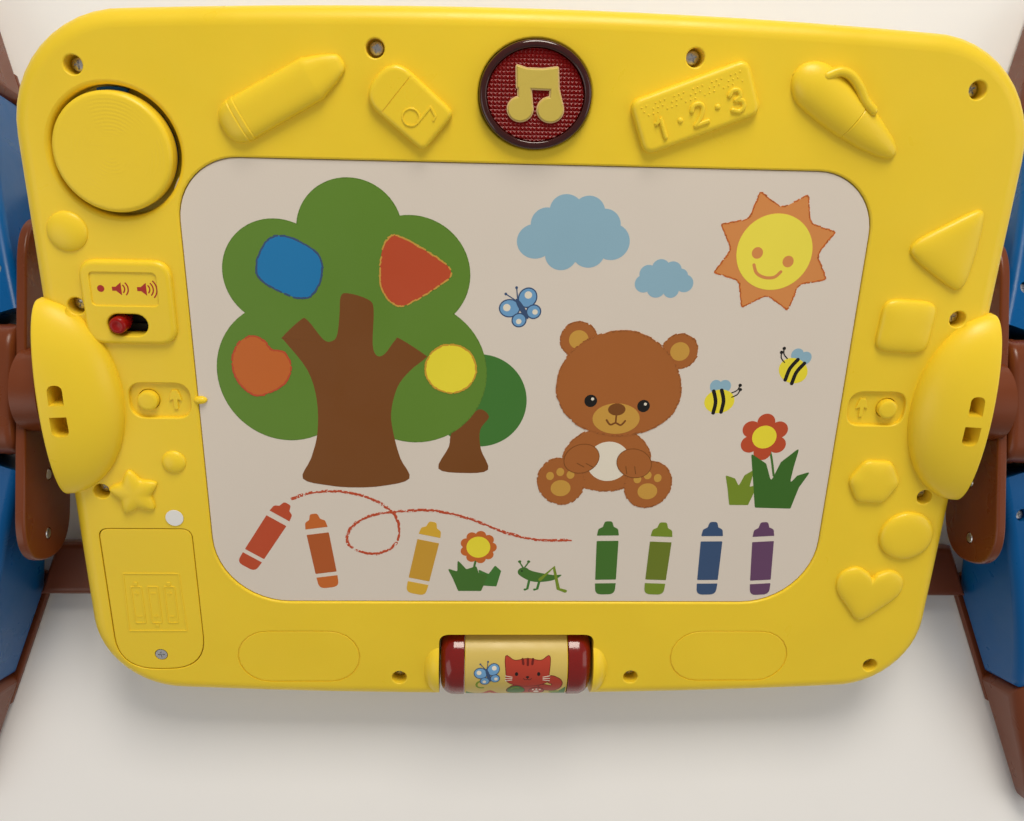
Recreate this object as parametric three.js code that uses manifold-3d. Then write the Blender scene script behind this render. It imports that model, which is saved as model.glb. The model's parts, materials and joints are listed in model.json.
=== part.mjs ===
// A child's electronic drawing board that tilts between the two side frames of a low floor stand.
// Millimetres, +Z up. The origin is on the floor, under the middle of the tilt axis.
// The board's own pieces are drawn in "face coordinates": X to the right, Y up the board,
// Z out of the drawing side, with Z = 0 on the drawing face.

import * as THREE from "three";
import { mergeVertices } from "three/addons/utils/BufferGeometryUtils.js";
import Module from "manifold-3d";

const wasm = await Module();
wasm.setup();

// ---------- driving dimensions ----------

const CLEAR = 0.3; // gap between pieces that touch or turn
const WALL = 2.6; // moulded wall
const FAR = 1000; // longer than anything here

// Board
const BOARD_HALF_WIDTH = 240;
const BOARD_TOP = 182;
const BOARD_BOTTOM = 183;
const BOARD_CROWN = 5; // how far the long edges bow out in their middle
const TOP_RADIUS = 56;
const BOTTOM_RADIUS = 48;
const THICKNESS = 30;
const EDGE_RADIUS = 8;
const SEAM = -THICKNESS / 2; // the two casings meet here, on the tilt and roller axes
const BOARD_TILT = THREE.MathUtils.degToRad(20);
const HUB_HEIGHT = 95;
const HUB_Y = -2.5; // the tilt axis in face coordinates

// Drawing panel
const PANEL = { halfWidth: 168, top: 119, bottom: -122, topRadius: 30, bottomRadius: 40 };
const PANEL_FACE = -0.9;
const PANEL_LEDGE = 4;
const PANEL_THICKNESS = 2.6;

// Hub domes and pivots
const DOME = { x: 241, radiusX: 36, radiusY: 52, height: 17 };
const PIVOT_RADIUS = 12;
const PIVOT_END = 222; // inner end of the pivot pin, from the middle of the board
const SOCKET_HALF = 19;

// Note button
const NOTE = { x: 0, y: 150, radiusX: 26, radiusY: 24, proud: 4.5, travel: 2.5 };
const NOTE_RIM = 3.6;

// Spinner
const SPINNER = { x: -194, y: 120, recess: 29.6, disc: 27.2, proud: 5, depth: 11, axle: 3 };

// Volume switch
const VOLUME = { x: -196, y: 49, width: 44, height: 42, proud: 2.6 };
const SLOT = { x: -197.2, y: 38, length: 19.5, width: 11 };
const KNOB = { x: -201.6, radius: 4.3, travel: 8.6, proud: 5.2 };

// Release buttons
const RELEASE = { x: 193, y: -2.5, radius: 5.2, travel: 3, pocketX: 187, pocketDepth: 2.2 };
const LATCH = { inner: 204.5, outer: 225, radius: 4 };

// Battery compartment: three AA cells side by side
const DOOR = { left: -228, right: -178, top: -76, bottom: -167, thickness: 2.4 };
const CELL = { radius: 7.1, length: 50, pitch: 14.9, y: -112, z: -13 };
const BATTERY_X = -203;
const BATTERY_BOX = { width: 47, top: -80.5, bottom: -143, floor: -22.6, wall: 1.2 };
const DOOR_SCREW_Y = -157;

// Roller
const ROLLER = { y: -168, radius: 22.5, halfLength: 44, cap: 14, axle: 2.5, axleHalf: 52 };
const CHEEK = { inner: 45, outer: 57, radius: 21.5 };

// Case screws, at the bottom of wells that open on the drawing face
const SCREW_WELLS = [
  [-208, 157.5], [208, 157.5], [-73, 168], [73, 168], [-222, 46.5], [221, 47],
  [-223, -54], [223, -54], [-68, -173], [68, -173], [211, -165],
];
const WELL_RADIUS = 4.2;
const WELL_DEPTH = 9;

const SPEAKER = { x: 112, y: -70, radius: 25 };

// Stand
const FRAME_X = 262; // inner face of a side frame at the hub
const HUB_HALF = 34; // half length of the hub housing along Y
const TOE_OUT = THREE.MathUtils.degToRad(18);
const LEG_THICKNESS = 52;
const COVER_THICKNESS = 26;
const LEG_REACH = 246; // from the hub housing to the toe, along the leg
const SHOE_START = 150;
const SHOE_LIP = 2;
const TOE_RADIUS = 22; // of a shoe's rounded toe, seen from above
const HUB_TOP = 107;
const ARCH_TOP = 46;
const PLATE = { halfLength: 92, top: 104, bottom: 50, thickness: 5 };
const SOLE = 5;
const SOLE_START = 84;
const BAR = { inner: 92, outer: 124, bottom: 6, top: 20 }; // along Y and Z

// ---------- colours ----------

const plastic = (color, roughness = 0.35) =>
  new THREE.MeshStandardMaterial({ color, roughness, metalness: 0 });
const metal = (color, roughness = 0.35) =>
  new THREE.MeshStandardMaterial({ color, roughness, metalness: 1 });

const YELLOW = () => plastic(0xf5d91c);
const WHITE = () => plastic(0xe9e4dc, 0.3);
const RED = () => plastic(0xcf1b1e, 0.2);
const DARK_RED = () => plastic(0x8e1116, 0.15);
const BLUE = () => plastic(0x1d7fb8);
const BROWN = () => plastic(0x7a3a1c);
const BLACK = () => plastic(0x202020, 0.6);
const GREEN = () => plastic(0x1f6b3a, 0.5);
const STEEL = () => metal(0xb9bbbe);

// ---------- solids ----------

// A closed geometry as a manifold-3d solid.
function solid(geometry) {
  const bare = geometry.clone();
  bare.deleteAttribute("normal");
  bare.deleteAttribute("uv");
  const merged = mergeVertices(bare, 1e-4);
  const vertProperties = new Float32Array(merged.attributes.position.array);
  const triVerts = new Uint32Array(merged.index.array);
  return new wasm.Manifold(new wasm.Mesh({ numProp: 3, vertProperties, triVerts }));
}

// A manifold-3d solid back as a three.js geometry.
function geometryOf(body) {
  const { numProp, vertProperties, triVerts } = body.getMesh();
  const corners = new Float32Array(triVerts.length * 3);
  triVerts.forEach((vertex, i) => {
    for (let axis = 0; axis < 3; axis += 1) {
      corners[i * 3 + axis] = vertProperties[vertex * numProp + axis];
    }
  });
  const geometry = new THREE.BufferGeometry();
  geometry.setAttribute("position", new THREE.BufferAttribute(corners, 3));
  geometry.computeVertexNormals();
  return geometry;
}

const join = (...geometries) =>
  geometryOf(geometries.map(solid).reduce((whole, next) => whole.add(next)));
const cut = (geometry, ...tools) =>
  geometryOf(tools.map(solid).reduce((whole, tool) => whole.subtract(tool), solid(geometry)));
const keep = (geometry, region) => geometryOf(solid(geometry).intersect(solid(region)));

function box(x0, x1, y0, y1, z0, z1) {
  const block = new THREE.BoxGeometry(x1 - x0, y1 - y0, z1 - z0);
  return block.translate((x0 + x1) / 2, (y0 + y1) / 2, (z0 + z1) / 2);
}

// A cylinder along Z from z0 to z1.
function rod(x, y, z0, z1, radius, sides = 20) {
  const cylinder = new THREE.CylinderGeometry(radius, radius, z1 - z0, sides);
  return cylinder.rotateX(Math.PI / 2).translate(x, y, (z0 + z1) / 2);
}

// A cylinder along X from x0 to x1.
function rodX(x0, x1, y, z, radius, sides = 20) {
  const cylinder = new THREE.CylinderGeometry(radius, radius, x1 - x0, sides);
  return cylinder.rotateZ(Math.PI / 2).translate((x0 + x1) / 2, y, z);
}

// A shape extruded along Z from z0 to z1, its top edge rounded by "round" when that is given.
function slab(shape, z0, z1, round = 0, segments = 1, curveSegments = 5) {
  const geometry = new THREE.ExtrudeGeometry(shape, {
    depth: z1 - z0 - 2 * round,
    bevelEnabled: round > 0,
    bevelThickness: round,
    bevelSize: round,
    bevelOffset: -round,
    bevelSegments: segments,
    curveSegments,
  });
  return geometry.translate(0, 0, z0 + round);
}

// A solid turned about Z and moved, for the reliefs.
const place = (geometry, x, y, degrees = 0) =>
  geometry.rotateZ(THREE.MathUtils.degToRad(degrees)).translate(x, y, 0);

const mirrorX = (side, geometry) => {
  if (side > 0) return geometry;
  const flipped = geometry.index ? geometry.toNonIndexed() : geometry;
  const { position } = flipped.attributes;
  for (let i = 0; i < position.count; i += 3) {
    const corners = [0, 2, 1].map((k) => new THREE.Vector3().fromBufferAttribute(position, i + k));
    corners.forEach((corner, k) => position.setXYZ(i + k, -corner.x, corner.y, corner.z));
  }
  flipped.computeVertexNormals();
  return flipped;
};

function roundedRect(x0, x1, y0, y1, radius, bottomRadius = radius) {
  const shape = new THREE.Shape();
  shape.moveTo(x0, y1 - radius);
  shape.absarc(x0 + radius, y1 - radius, radius, Math.PI, Math.PI / 2, true);
  shape.absarc(x1 - radius, y1 - radius, radius, Math.PI / 2, 0, true);
  shape.absarc(x1 - bottomRadius, y0 + bottomRadius, bottomRadius, 0, -Math.PI / 2, true);
  shape.absarc(x0 + bottomRadius, y0 + bottomRadius, bottomRadius, -Math.PI / 2, -Math.PI, true);
  return shape;
}

const stadium = (length, width) =>
  roundedRect(-length / 2, length / 2, -width / 2, width / 2, width / 2 - 0.01);

function ellipse(radiusX, radiusY) {
  const shape = new THREE.Shape();
  shape.absellipse(0, 0, radiusX, radiusY, 0, 2 * Math.PI, false, 0);
  return shape;
}

function polygon(points) {
  const shape = new THREE.Shape();
  points.forEach(([x, y], i) => (i ? shape.lineTo(x, y) : shape.moveTo(x, y)));
  return shape;
}

// The board's outline, moved in by "inset".
function boardOutline(inset) {
  const x = BOARD_HALF_WIDTH - inset;
  const top = BOARD_TOP - inset;
  const bottom = -BOARD_BOTTOM + inset;
  const topX = BOARD_HALF_WIDTH - TOP_RADIUS;
  const topY = BOARD_TOP - TOP_RADIUS;
  const bottomX = BOARD_HALF_WIDTH - BOTTOM_RADIUS;
  const bottomY = -BOARD_BOTTOM + BOTTOM_RADIUS;
  const shape = new THREE.Shape();
  shape.moveTo(-x, topY);
  shape.absarc(-topX, topY, TOP_RADIUS - inset, Math.PI, Math.PI / 2, true);
  shape.quadraticCurveTo(0, top + 2 * BOARD_CROWN, topX, top);
  shape.absarc(topX, topY, TOP_RADIUS - inset, Math.PI / 2, 0, true);
  shape.lineTo(x, bottomY);
  shape.absarc(bottomX, bottomY, BOTTOM_RADIUS - inset, 0, -Math.PI / 2, true);
  shape.quadraticCurveTo(0, bottom - 2 * BOARD_CROWN, -bottomX, bottom);
  shape.absarc(-bottomX, bottomY, BOTTOM_RADIUS - inset, -Math.PI / 2, -Math.PI, true);
  return shape;
}

const panelOutline = (grow) =>
  roundedRect(
    -PANEL.halfWidth - grow, PANEL.halfWidth + grow, PANEL.bottom - grow, PANEL.top + grow,
    PANEL.topRadius + grow, PANEL.bottomRadius + grow,
  );

// ---------- reliefs on the drawing face ----------

const RELIEF_ROOT = -1.5; // they run into the casing's wall

function star(outer, inner) {
  return polygon(Array.from({ length: 10 }, (_, i) => {
    const angle = Math.PI / 2 + (i * Math.PI) / 5;
    const radius = i % 2 ? inner : outer;
    return [radius * Math.cos(angle), radius * Math.sin(angle)];
  }));
}

function heart(size) {
  const shape = new THREE.Shape();
  shape.moveTo(0, -size);
  shape.bezierCurveTo(-1.5 * size, -0.1 * size, -0.9 * size, 1.1 * size, 0, 0.45 * size);
  shape.bezierCurveTo(0.9 * size, 1.1 * size, 1.5 * size, -0.1 * size, 0, -size);
  return shape;
}

const CRAYON = [[-31, -8], [-27, -10], [14, -10], [31, -2], [31, 2], [14, 10], [-27, 10], [-31, 8]];
const TAG = [[-19, -12], [14, -12], [19, -7], [19, 7], [14, 12], [-13, 12], [-19, 4]];
const PEN = [[-31, -5], [-24, -10], [4, -11], [30, -4], [33, 0], [30, 4], [4, 11], [-24, 10], [-31, 5]];
const TRIANGLE = [[-15, 0], [-13, -4], [11, -18], [15, -15], [15, 15], [11, 18], [-13, 4]];
const HEXAGON = Array.from({ length: 6 }, (_, i) => [
  14.5 * Math.cos((i * Math.PI) / 3), 14.5 * Math.sin((i * Math.PI) / 3),
]);

const reliefs = () => [
  place(slab(polygon(CRAYON), RELIEF_ROOT, 5, 2), -116, 146.5, 29),
  place(slab(polygon(TAG), RELIEF_ROOT, 4, 1.5), -58, 144, -40),
  place(slab(roundedRect(-28, 28, -12.5, 12.5, 4), RELIEF_ROOT, 4, 1.5, 2, 3), 74.5, 146.5, 21),
  place(slab(polygon(PEN), RELIEF_ROOT, 5, 2), 146, 146, -35),
  place(slab(polygon(TRIANGLE), RELIEF_ROOT, 3.5, 1.5), 206, 82.5),
  place(slab(roundedRect(-15, 15, -15, 15, 5), RELIEF_ROOT, 3.5, 1.5, 2, 3), 194, 43, -3),
  place(slab(polygon(HEXAGON), RELIEF_ROOT, 3.5, 1.5), 192.5, -44.5, -3),
  place(slab(ellipse(15, 15), RELIEF_ROOT, 3.5, 1.5), 216.5, -77.6),
  place(slab(heart(20), RELIEF_ROOT, 3.5, 1.5, 2, 5), 200, -116, -6),
  place(slab(star(14.5, 7.6), RELIEF_ROOT, 3.5, 1.2), -205, -54.5, 8),
  place(slab(ellipse(9.5, 9.5), RELIEF_ROOT, 2.8, 1.2), -221, 83),
  place(slab(ellipse(6.2, 6.2), RELIEF_ROOT, 2.6, 1.2), -183.4, -36.6),
];

// ---------- casings ----------

// The whole board as a hollow body, with the hub domes, sockets, wells and roller cheeks,
// before the seam parts it into the two casings.
const CAVITY_TOP = -WALL;
const CAVITY_BOTTOM = -THICKNESS + WALL;

function outerBody() {
  return slab(boardOutline(0), -THICKNESS, 0, EDGE_RADIUS, 2, 6);
}

function cavity() {
  return slab(boardOutline(WALL), CAVITY_BOTTOM, CAVITY_TOP, EDGE_RADIUS - WALL, 1, 6);
}

function hubDome(side) {
  const ball = new THREE.SphereGeometry(1, 16, 10);
  ball.rotateX(Math.PI / 2).scale(DOME.radiusX, DOME.radiusY, DOME.height);
  ball.translate(DOME.x, HUB_Y, 0);
  const above = box(0, DOME.x + 3, -FAR, FAR, RELIEF_ROOT, FAR);
  return mirrorX(side, keep(ball, above));
}

// A block around each pivot, in the seam, bored for the pivot pin.
const socketBlock = (side) =>
  mirrorX(side, box(PIVOT_END - 4, DOME.x - 2, HUB_Y - SOCKET_HALF, HUB_Y + SOCKET_HALF,
    CAVITY_BOTTOM - 1, CAVITY_TOP + 1));
const socketBore = (side) =>
  mirrorX(side, rodX(PIVOT_END - CLEAR, FAR, HUB_Y, SEAM, PIVOT_RADIUS + CLEAR));
const latchBore = (side) =>
  mirrorX(side, rodX(200, PIVOT_END, HUB_Y, SEAM, LATCH.radius + CLEAR, 12));

function cheek(side) {
  const profile = [new THREE.Vector2(0, 0)];
  for (let i = 0; i <= 3; i += 1) {
    const angle = (i * Math.PI) / 6;
    const reach = (CHEEK.outer - CHEEK.inner) * Math.sin(angle);
    profile.push(new THREE.Vector2(i === 3 ? 0 : CHEEK.radius * Math.cos(angle), reach));
  }
  const dome = new THREE.LatheGeometry(profile, 20);
  dome.rotateZ(-Math.PI / 2).translate(CHEEK.inner, ROLLER.y, SEAM);
  return mirrorX(side, dome);
}
const rollerOpening = () => box(-CHEEK.inner, CHEEK.inner, -FAR, ROLLER.y + 24.5, -FAR, FAR);
const rollerWall = () =>
  box(-CHEEK.inner - WALL, CHEEK.inner + WALL, -BOARD_BOTTOM - 2, ROLLER.y + 24.5 + WALL,
    CAVITY_BOTTOM - 1, CAVITY_TOP + 1);
const axleBore = () => rodX(-ROLLER.axleHalf - CLEAR, ROLLER.axleHalf + CLEAR, ROLLER.y, SEAM,
  ROLLER.axle + CLEAR, 16);

// Walls and blocks inside the casing, behind the features of the drawing face.
function innerBlocks() {
  const blocks = [
    rollerWall(),
    rod(SPINNER.x, SPINNER.y, -SPINNER.depth - WALL, CAVITY_TOP + 1, SPINNER.recess + WALL, 24),
    box(VOLUME.x - 16, VOLUME.x + 16, VOLUME.y - 18, VOLUME.y - 4, -6, CAVITY_TOP + 1),
  ];
  for (const side of [-1, 1]) {
    blocks.push(mirrorX(side, box(169, 205, -14, 9, -6.5, CAVITY_TOP + 1)), socketBlock(side));
  }
  for (const [x, y] of SCREW_WELLS) {
    blocks.push(rod(x, y, CAVITY_BOTTOM - 1, CAVITY_TOP + 1, WELL_RADIUS + 2, 8));
  }
  blocks.push(rod(BATTERY_X, DOOR_SCREW_Y, SEAM + 1, CAVITY_TOP, 5, 14));
  blocks.push(slab(roundedRect(DOOR.left - 2, DOOR.right + 2, DOOR.bottom - 2, DOOR.top + 2, 6, 22),
    -5.6, CAVITY_TOP + 1, 0, 1, 5));
  return blocks;
}

// What is cut out of the drawing side.
function frontCuts() {
  const cuts = [
    slab(panelOutline(0), CAVITY_TOP - 1, 2),
    slab(panelOutline(PANEL_LEDGE), -6.8, CAVITY_TOP),
    place(slab(ellipse(NOTE.radiusX + CLEAR, NOTE.radiusY + CLEAR), -8, 9, 0, 1, 7), NOTE.x, NOTE.y),
    rod(SPINNER.x, SPINNER.y, -SPINNER.depth, 9, SPINNER.recess, 24),
    rod(SPINNER.x, SPINNER.y, -FAR, 9, SPINNER.axle + CLEAR, 16),
    place(slab(stadium(SLOT.length, SLOT.width), -9, 9, 0, 1, 5), SLOT.x, SLOT.y),
    slab(roundedRect(-213, -181, 48, 64, 3), VOLUME.proud - 0.8, 9, 0, 1, 3),
    slab(roundedRect(DOOR.left, DOOR.right, DOOR.bottom, DOOR.top, 6, 22), -3, 3, 0, 1, 5),
    box(BATTERY_X - BATTERY_BOX.width / 2 - CLEAR, BATTERY_X + BATTERY_BOX.width / 2 + CLEAR,
      BATTERY_BOX.bottom - CLEAR, BATTERY_BOX.top + CLEAR, -FAR, 1),
    rod(BATTERY_X, DOOR_SCREW_Y, -FAR, 1, 2.2, 10),
  ];
  for (const side of [-1, 1]) {
    cuts.push(mirrorX(side, place(
      slab(roundedRect(-15.5, 15.5, -9.5, 9.5, 7), -RELEASE.pocketDepth, 9, 0, 1, 4),
      RELEASE.pocketX, RELEASE.y)));
    cuts.push(mirrorX(side, rod(RELEASE.x, RELEASE.y, -9, 9, RELEASE.radius + CLEAR, 18)));
    cuts.push(mirrorX(side, box(227, 233, -2, 8, 0, FAR)));
    cuts.push(mirrorX(side, box(227, 233, -20, -10, 0, FAR)));
    const oval = slab(stadium(70, 35), -0.7, 9, 0, 1, 6);
    const island = slab(stadium(67, 32), -2, 10, 0, 1, 6);
    cuts.push(place(cut(oval, island), side * 125, -158.3));
  }
  for (const [x, y] of SCREW_WELLS) {
    cuts.push(rod(x, y, -WELL_DEPTH, 9, WELL_RADIUS, 8));
    cuts.push(rod(x, y, SEAM - 1, 0, 1.9, 6));
  }
  return cuts;
}

function frontCasing() {
  const body = cut(
    join(cut(outerBody(), cavity()), ...innerBlocks(), hubDome(-1), hubDome(1), cheek(-1), cheek(1),
      ...reliefs(),
      slab(roundedRect(VOLUME.x - VOLUME.width / 2, VOLUME.x + VOLUME.width / 2,
        VOLUME.y - VOLUME.height / 2, VOLUME.y + VOLUME.height / 2, 7), RELIEF_ROOT, VOLUME.proud,
      1.2, 2, 4)),
    rollerOpening(), axleBore(), socketBore(-1), socketBore(1), latchBore(-1), latchBore(1),
    ...frontCuts(),
  );
  return keep(body, box(-FAR, FAR, -FAR, FAR, SEAM + CLEAR / 2, FAR));
}

// The play side: speaker grille and spinner recess.
function backCasing() {
  const back = -THICKNESS;
  const blocks = [
    rollerWall(), socketBlock(-1), socketBlock(1),
    rod(SPINNER.x, SPINNER.y, back + 1, back + 8 + WALL, SPINNER.recess + WALL, 24),
  ];
  const cuts = [
    rollerOpening(), axleBore(), socketBore(-1), socketBore(1), latchBore(-1), latchBore(1),
    rod(SPINNER.x, SPINNER.y, -FAR, back + 8, SPINNER.recess, 24),
    rod(SPINNER.x, SPINNER.y, -FAR, 0, SPINNER.axle + CLEAR, 16),
  ];
  for (const [x, y] of SCREW_WELLS) {
    blocks.push(rod(x, y, CAVITY_BOTTOM - 1, SEAM, WELL_RADIUS, 8));
    cuts.push(rod(x, y, CAVITY_BOTTOM, 0, 1.75, 6));
  }
  for (let ring = 0; ring < 3; ring += 1) {
    const holes = ring === 0 ? 1 : ring * 6;
    for (let i = 0; i < holes; i += 1) {
      const angle = (2 * Math.PI * i) / holes;
      cuts.push(rod(SPEAKER.x + 8 * ring * Math.cos(angle), SPEAKER.y + 8 * ring * Math.sin(angle),
        back - 1, CAVITY_BOTTOM + 1, 2, 6));
    }
  }
  const body = cut(join(cut(outerBody(), cavity()), cheek(-1), cheek(1), ...blocks), ...cuts);
  return keep(body, box(-FAR, FAR, -FAR, FAR, -FAR, SEAM - CLEAR / 2));
}

// ---------- pieces of the board ----------

const face = new THREE.Group();

function piece(parent, name, geometry, material) {
  const mesh = new THREE.Mesh(geometry, material);
  mesh.name = name;
  parent.add(mesh);
  return mesh;
}

const wellScrew = (x, y) => {
  const head = rod(x, y, -WELL_DEPTH + CLEAR, -WELL_DEPTH + CLEAR + 2.2, 3.4, 8);
  const shank = rod(x, y, -24, -WELL_DEPTH + CLEAR + 0.5, 1.4, 6);
  return cut(join(head, shank), box(x - 2, x + 2, y - 0.4, y + 0.4, -8, -5),
    box(x - 0.4, x + 0.4, y - 2, y + 2, -8, -5));
};

piece(face, "front_casing", frontCasing(), YELLOW());
piece(face, "back_casing", backCasing(), YELLOW());
piece(face, "drawing_panel", join(
  slab(panelOutline(-CLEAR), PANEL_FACE - PANEL_THICKNESS, PANEL_FACE),
  slab(panelOutline(PANEL_LEDGE - CLEAR), CAVITY_TOP - CLEAR - PANEL_THICKNESS, CAVITY_TOP - CLEAR),
), WHITE());
SCREW_WELLS.forEach(([x, y], i) => piece(face, `case_screw_${i + 1}`, wellScrew(x, y), STEEL()));
piece(face, "round_sticker", rod(-186.4, -69.3, CLEAR, 2 * CLEAR, 4.7, 20), WHITE());

// Note button: a translucent lens in a rim, with an emblem, over a switch and a lamp.
const noteOval = (grow) => ellipse(NOTE.radiusX + grow, NOTE.radiusY + grow);
const NOTE_FLANGE = -7;
const notes = () => [
  place(slab(ellipse(4.6, 3.7), 0, 2.6, 0.6, 1), -7.5, -10.5, 15),
  place(slab(ellipse(4.6, 3.7), 0, 2.6, 0.6, 1), 8, -9, 15),
  slab(polygon([[-4.6, -10], [-1.4, -10], [-1.4, 11], [-4.6, 11]]), 0, 2.6),
  slab(polygon([[10.4, -9], [13.4, -9], [13.4, 13], [10.4, 13]]), 0, 2.6),
  slab(polygon([[-4.6, 5], [13.4, 7.6], [13.4, 14.4], [-4.6, 11.6]]), 0, 2.6),
];
piece(face, "note_lens", join(
  place(slab(noteOval(-NOTE_RIM - CLEAR), NOTE_FLANGE, NOTE.proud - 1.4, 1, 1, 7), NOTE.x, NOTE.y),
  place(slab(noteOval(-6), NOTE_FLANGE - 1.6, NOTE_FLANGE + 2, 0, 1, 7), NOTE.x, NOTE.y),
), RED());
piece(face, "note_rim", place(cut(
  slab(noteOval(0), NOTE_FLANGE, NOTE.proud, 1.4, 2, 7),
  slab(noteOval(-NOTE_RIM), -FAR, FAR, 0, 1, 7),
), NOTE.x, NOTE.y), DARK_RED());
piece(face, "note_emblem", join(...notes()).translate(NOTE.x - 3, NOTE.y - 1, NOTE.proud - 1.1), YELLOW());
piece(face, "note_switch", join(
  rod(NOTE.x, NOTE.y, -19.6, -16.6, 5, 16),
  rod(NOTE.x, NOTE.y, -17, -11.6, 3, 12),
), WHITE());
piece(face, "note_lamp", rod(NOTE.x + 12, NOTE.y, -19.6, -13.4, 2.5, 12), WHITE());
piece(face, "note_circuit_board", box(-24, 24, 129, 171, -21.5, -19.9), GREEN());

// Spinner: its back shows in a recess of the drawing side, its dial is on the play side.
const spinner = new THREE.Group();
spinner.position.set(SPINNER.x, SPINNER.y, 0);
face.add(spinner);
piece(spinner, "spinner_disc", cut(
  slab(ellipse(SPINNER.disc, SPINNER.disc), -4.4, SPINNER.proud, 2.2, 2, 10),
  rod(0, 0, -5, 0, SPINNER.axle + CLEAR, 12),
), YELLOW());
piece(spinner, "spinner_ring", cut(
  rod(0, 0, -8.4, -4.7, 28.8, 36),
  rod(0, 0, -9, -4, SPINNER.axle + CLEAR, 16),
), BLUE());
piece(spinner, "spinner_axle", rod(0, 0, -THICKNESS + 1, -CLEAR, SPINNER.axle, 12), STEEL());
piece(spinner, "spinner_dial", cut(
  join(slab(ellipse(SPINNER.disc, SPINNER.disc), -36, -THICKNESS + 6.5, 1.5, 2, 10),
    rod(0, 15, -42, -34, 6, 14)),
  rod(0, 0, -THICKNESS + 0.5, -THICKNESS + 8, SPINNER.axle + CLEAR, 16),
), BLUE());

// Volume switch.
piece(face, "volume_knob", join(
  slab(ellipse(KNOB.radius, KNOB.radius), -3, KNOB.proud, 1.2, 2, 4).translate(KNOB.x, SLOT.y, 0),
  box(KNOB.x - 2, KNOB.x + 2, SLOT.y - 2, SLOT.y + 2, -11.5, -2.6),
), RED());
piece(face, "volume_switch", cut(
  box(SLOT.x - 13, SLOT.x + 13, SLOT.y - 6, SLOT.y + 6, -17, -9.4),
  box(KNOB.x - 2.6, KNOB.x + KNOB.travel + 2.6, SLOT.y - 2.4, SLOT.y + 2.4, -12.2, 0),
), BLACK());

// Release buttons with their leaf springs and latch bolts.
for (const [side, hand] of [[-1, "left"], [1, "right"]]) {
  const at = (geometry) => mirrorX(side, geometry);
  piece(face, `release_button_${hand}`, at(join(
    slab(ellipse(RELEASE.radius, RELEASE.radius), -7, 1.4, 1, 2, 5).translate(RELEASE.x, RELEASE.y, 0),
    rod(RELEASE.x, RELEASE.y, -9, -6.8, RELEASE.radius + 1.6, 18),
  )), YELLOW());
  piece(face, `release_spring_${hand}`, at(join(
    box(RELEASE.x - 16, RELEASE.x + 3, -6.5, 1.5, -13, -12.4),
    box(RELEASE.x - 16, RELEASE.x - 15.4, -6.5, 1.5, -THICKNESS + WALL + CLEAR, -12.4),
  )), STEEL());
  piece(face, `latch_bolt_${hand}`, at(join(
    rodX(LATCH.inner + 3, LATCH.outer, HUB_Y, SEAM, LATCH.radius, 12),
    box(LATCH.inner, LATCH.inner + 4, HUB_Y - 5, HUB_Y + 5, SEAM - 5, SEAM + 5),
  )), BLACK());
}

// Battery compartment.
const boxHalf = BATTERY_BOX.width / 2;
piece(face, "battery_box", cut(
  box(BATTERY_X - boxHalf, BATTERY_X + boxHalf, BATTERY_BOX.bottom, BATTERY_BOX.top, BATTERY_BOX.floor, -3.4),
  box(BATTERY_X - boxHalf + BATTERY_BOX.wall, BATTERY_X + boxHalf - BATTERY_BOX.wall,
    BATTERY_BOX.bottom + BATTERY_BOX.wall, BATTERY_BOX.top - BATTERY_BOX.wall,
    BATTERY_BOX.floor + BATTERY_BOX.wall, 0),
), BLACK());
const cell = (i) => {
  const body = new THREE.CylinderGeometry(CELL.radius, CELL.radius, CELL.length - 1, 18);
  const nub = new THREE.CylinderGeometry(2.7, 2.7, 2, 12).translate(0, CELL.length / 2, 0);
  return join(body, nub).rotateZ(i % 2 ? Math.PI : 0).translate(BATTERY_X + i * CELL.pitch, CELL.y, CELL.z);
};
[-1, 0, 1].forEach((i) => piece(face, `battery_${i + 2}`, cell(i), BLUE()));
const doorShape = roundedRect(DOOR.left + 0.5, DOOR.right - 0.5, DOOR.bottom + 0.5, DOOR.top - 0.5,
  5.5, 21.5);
piece(face, "battery_door", cut(
  slab(doorShape, -DOOR.thickness - 0.2, -0.2, 0.4, 1, 5),
  rod(BATTERY_X, DOOR_SCREW_Y, -1.6, 1, 3.7, 16),
  rod(BATTERY_X, DOOR_SCREW_Y, -4, 1, 1.8, 12),
), YELLOW());
piece(face, "battery_door_screw", cut(
  join(rod(BATTERY_X, DOOR_SCREW_Y, -1.3, -0.3, 3.3, 16), rod(BATTERY_X, DOOR_SCREW_Y, -9, -1, 1.3, 10)),
  box(BATTERY_X - 2, BATTERY_X + 2, DOOR_SCREW_Y - 0.4, DOOR_SCREW_Y + 0.4, -0.9, 1),
  box(BATTERY_X - 0.4, BATTERY_X + 0.4, DOOR_SCREW_Y - 2, DOOR_SCREW_Y + 2, -0.9, 1),
), STEEL());

// Electronics behind the drawing panel.
const chip = (x, y, w, h) => box(x - w / 2, x + w / 2, y - h / 2, y + h / 2, -19, -15);
piece(face, "main_circuit_board", join(
  box(-70, 50, -100, -30, -20, -18.4),
  chip(-20, -65, 18, 18), chip(20, -50, 10, 14), chip(-52, -80, 8, 20), chip(28, -86, 22, 8),
), GREEN());
piece(face, "speaker", join(
  rod(SPEAKER.x, SPEAKER.y, -26.8, -24.4, SPEAKER.radius, 32),
  rod(SPEAKER.x, SPEAKER.y, -24.6, -17, 14, 24),
), BLACK());
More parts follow.
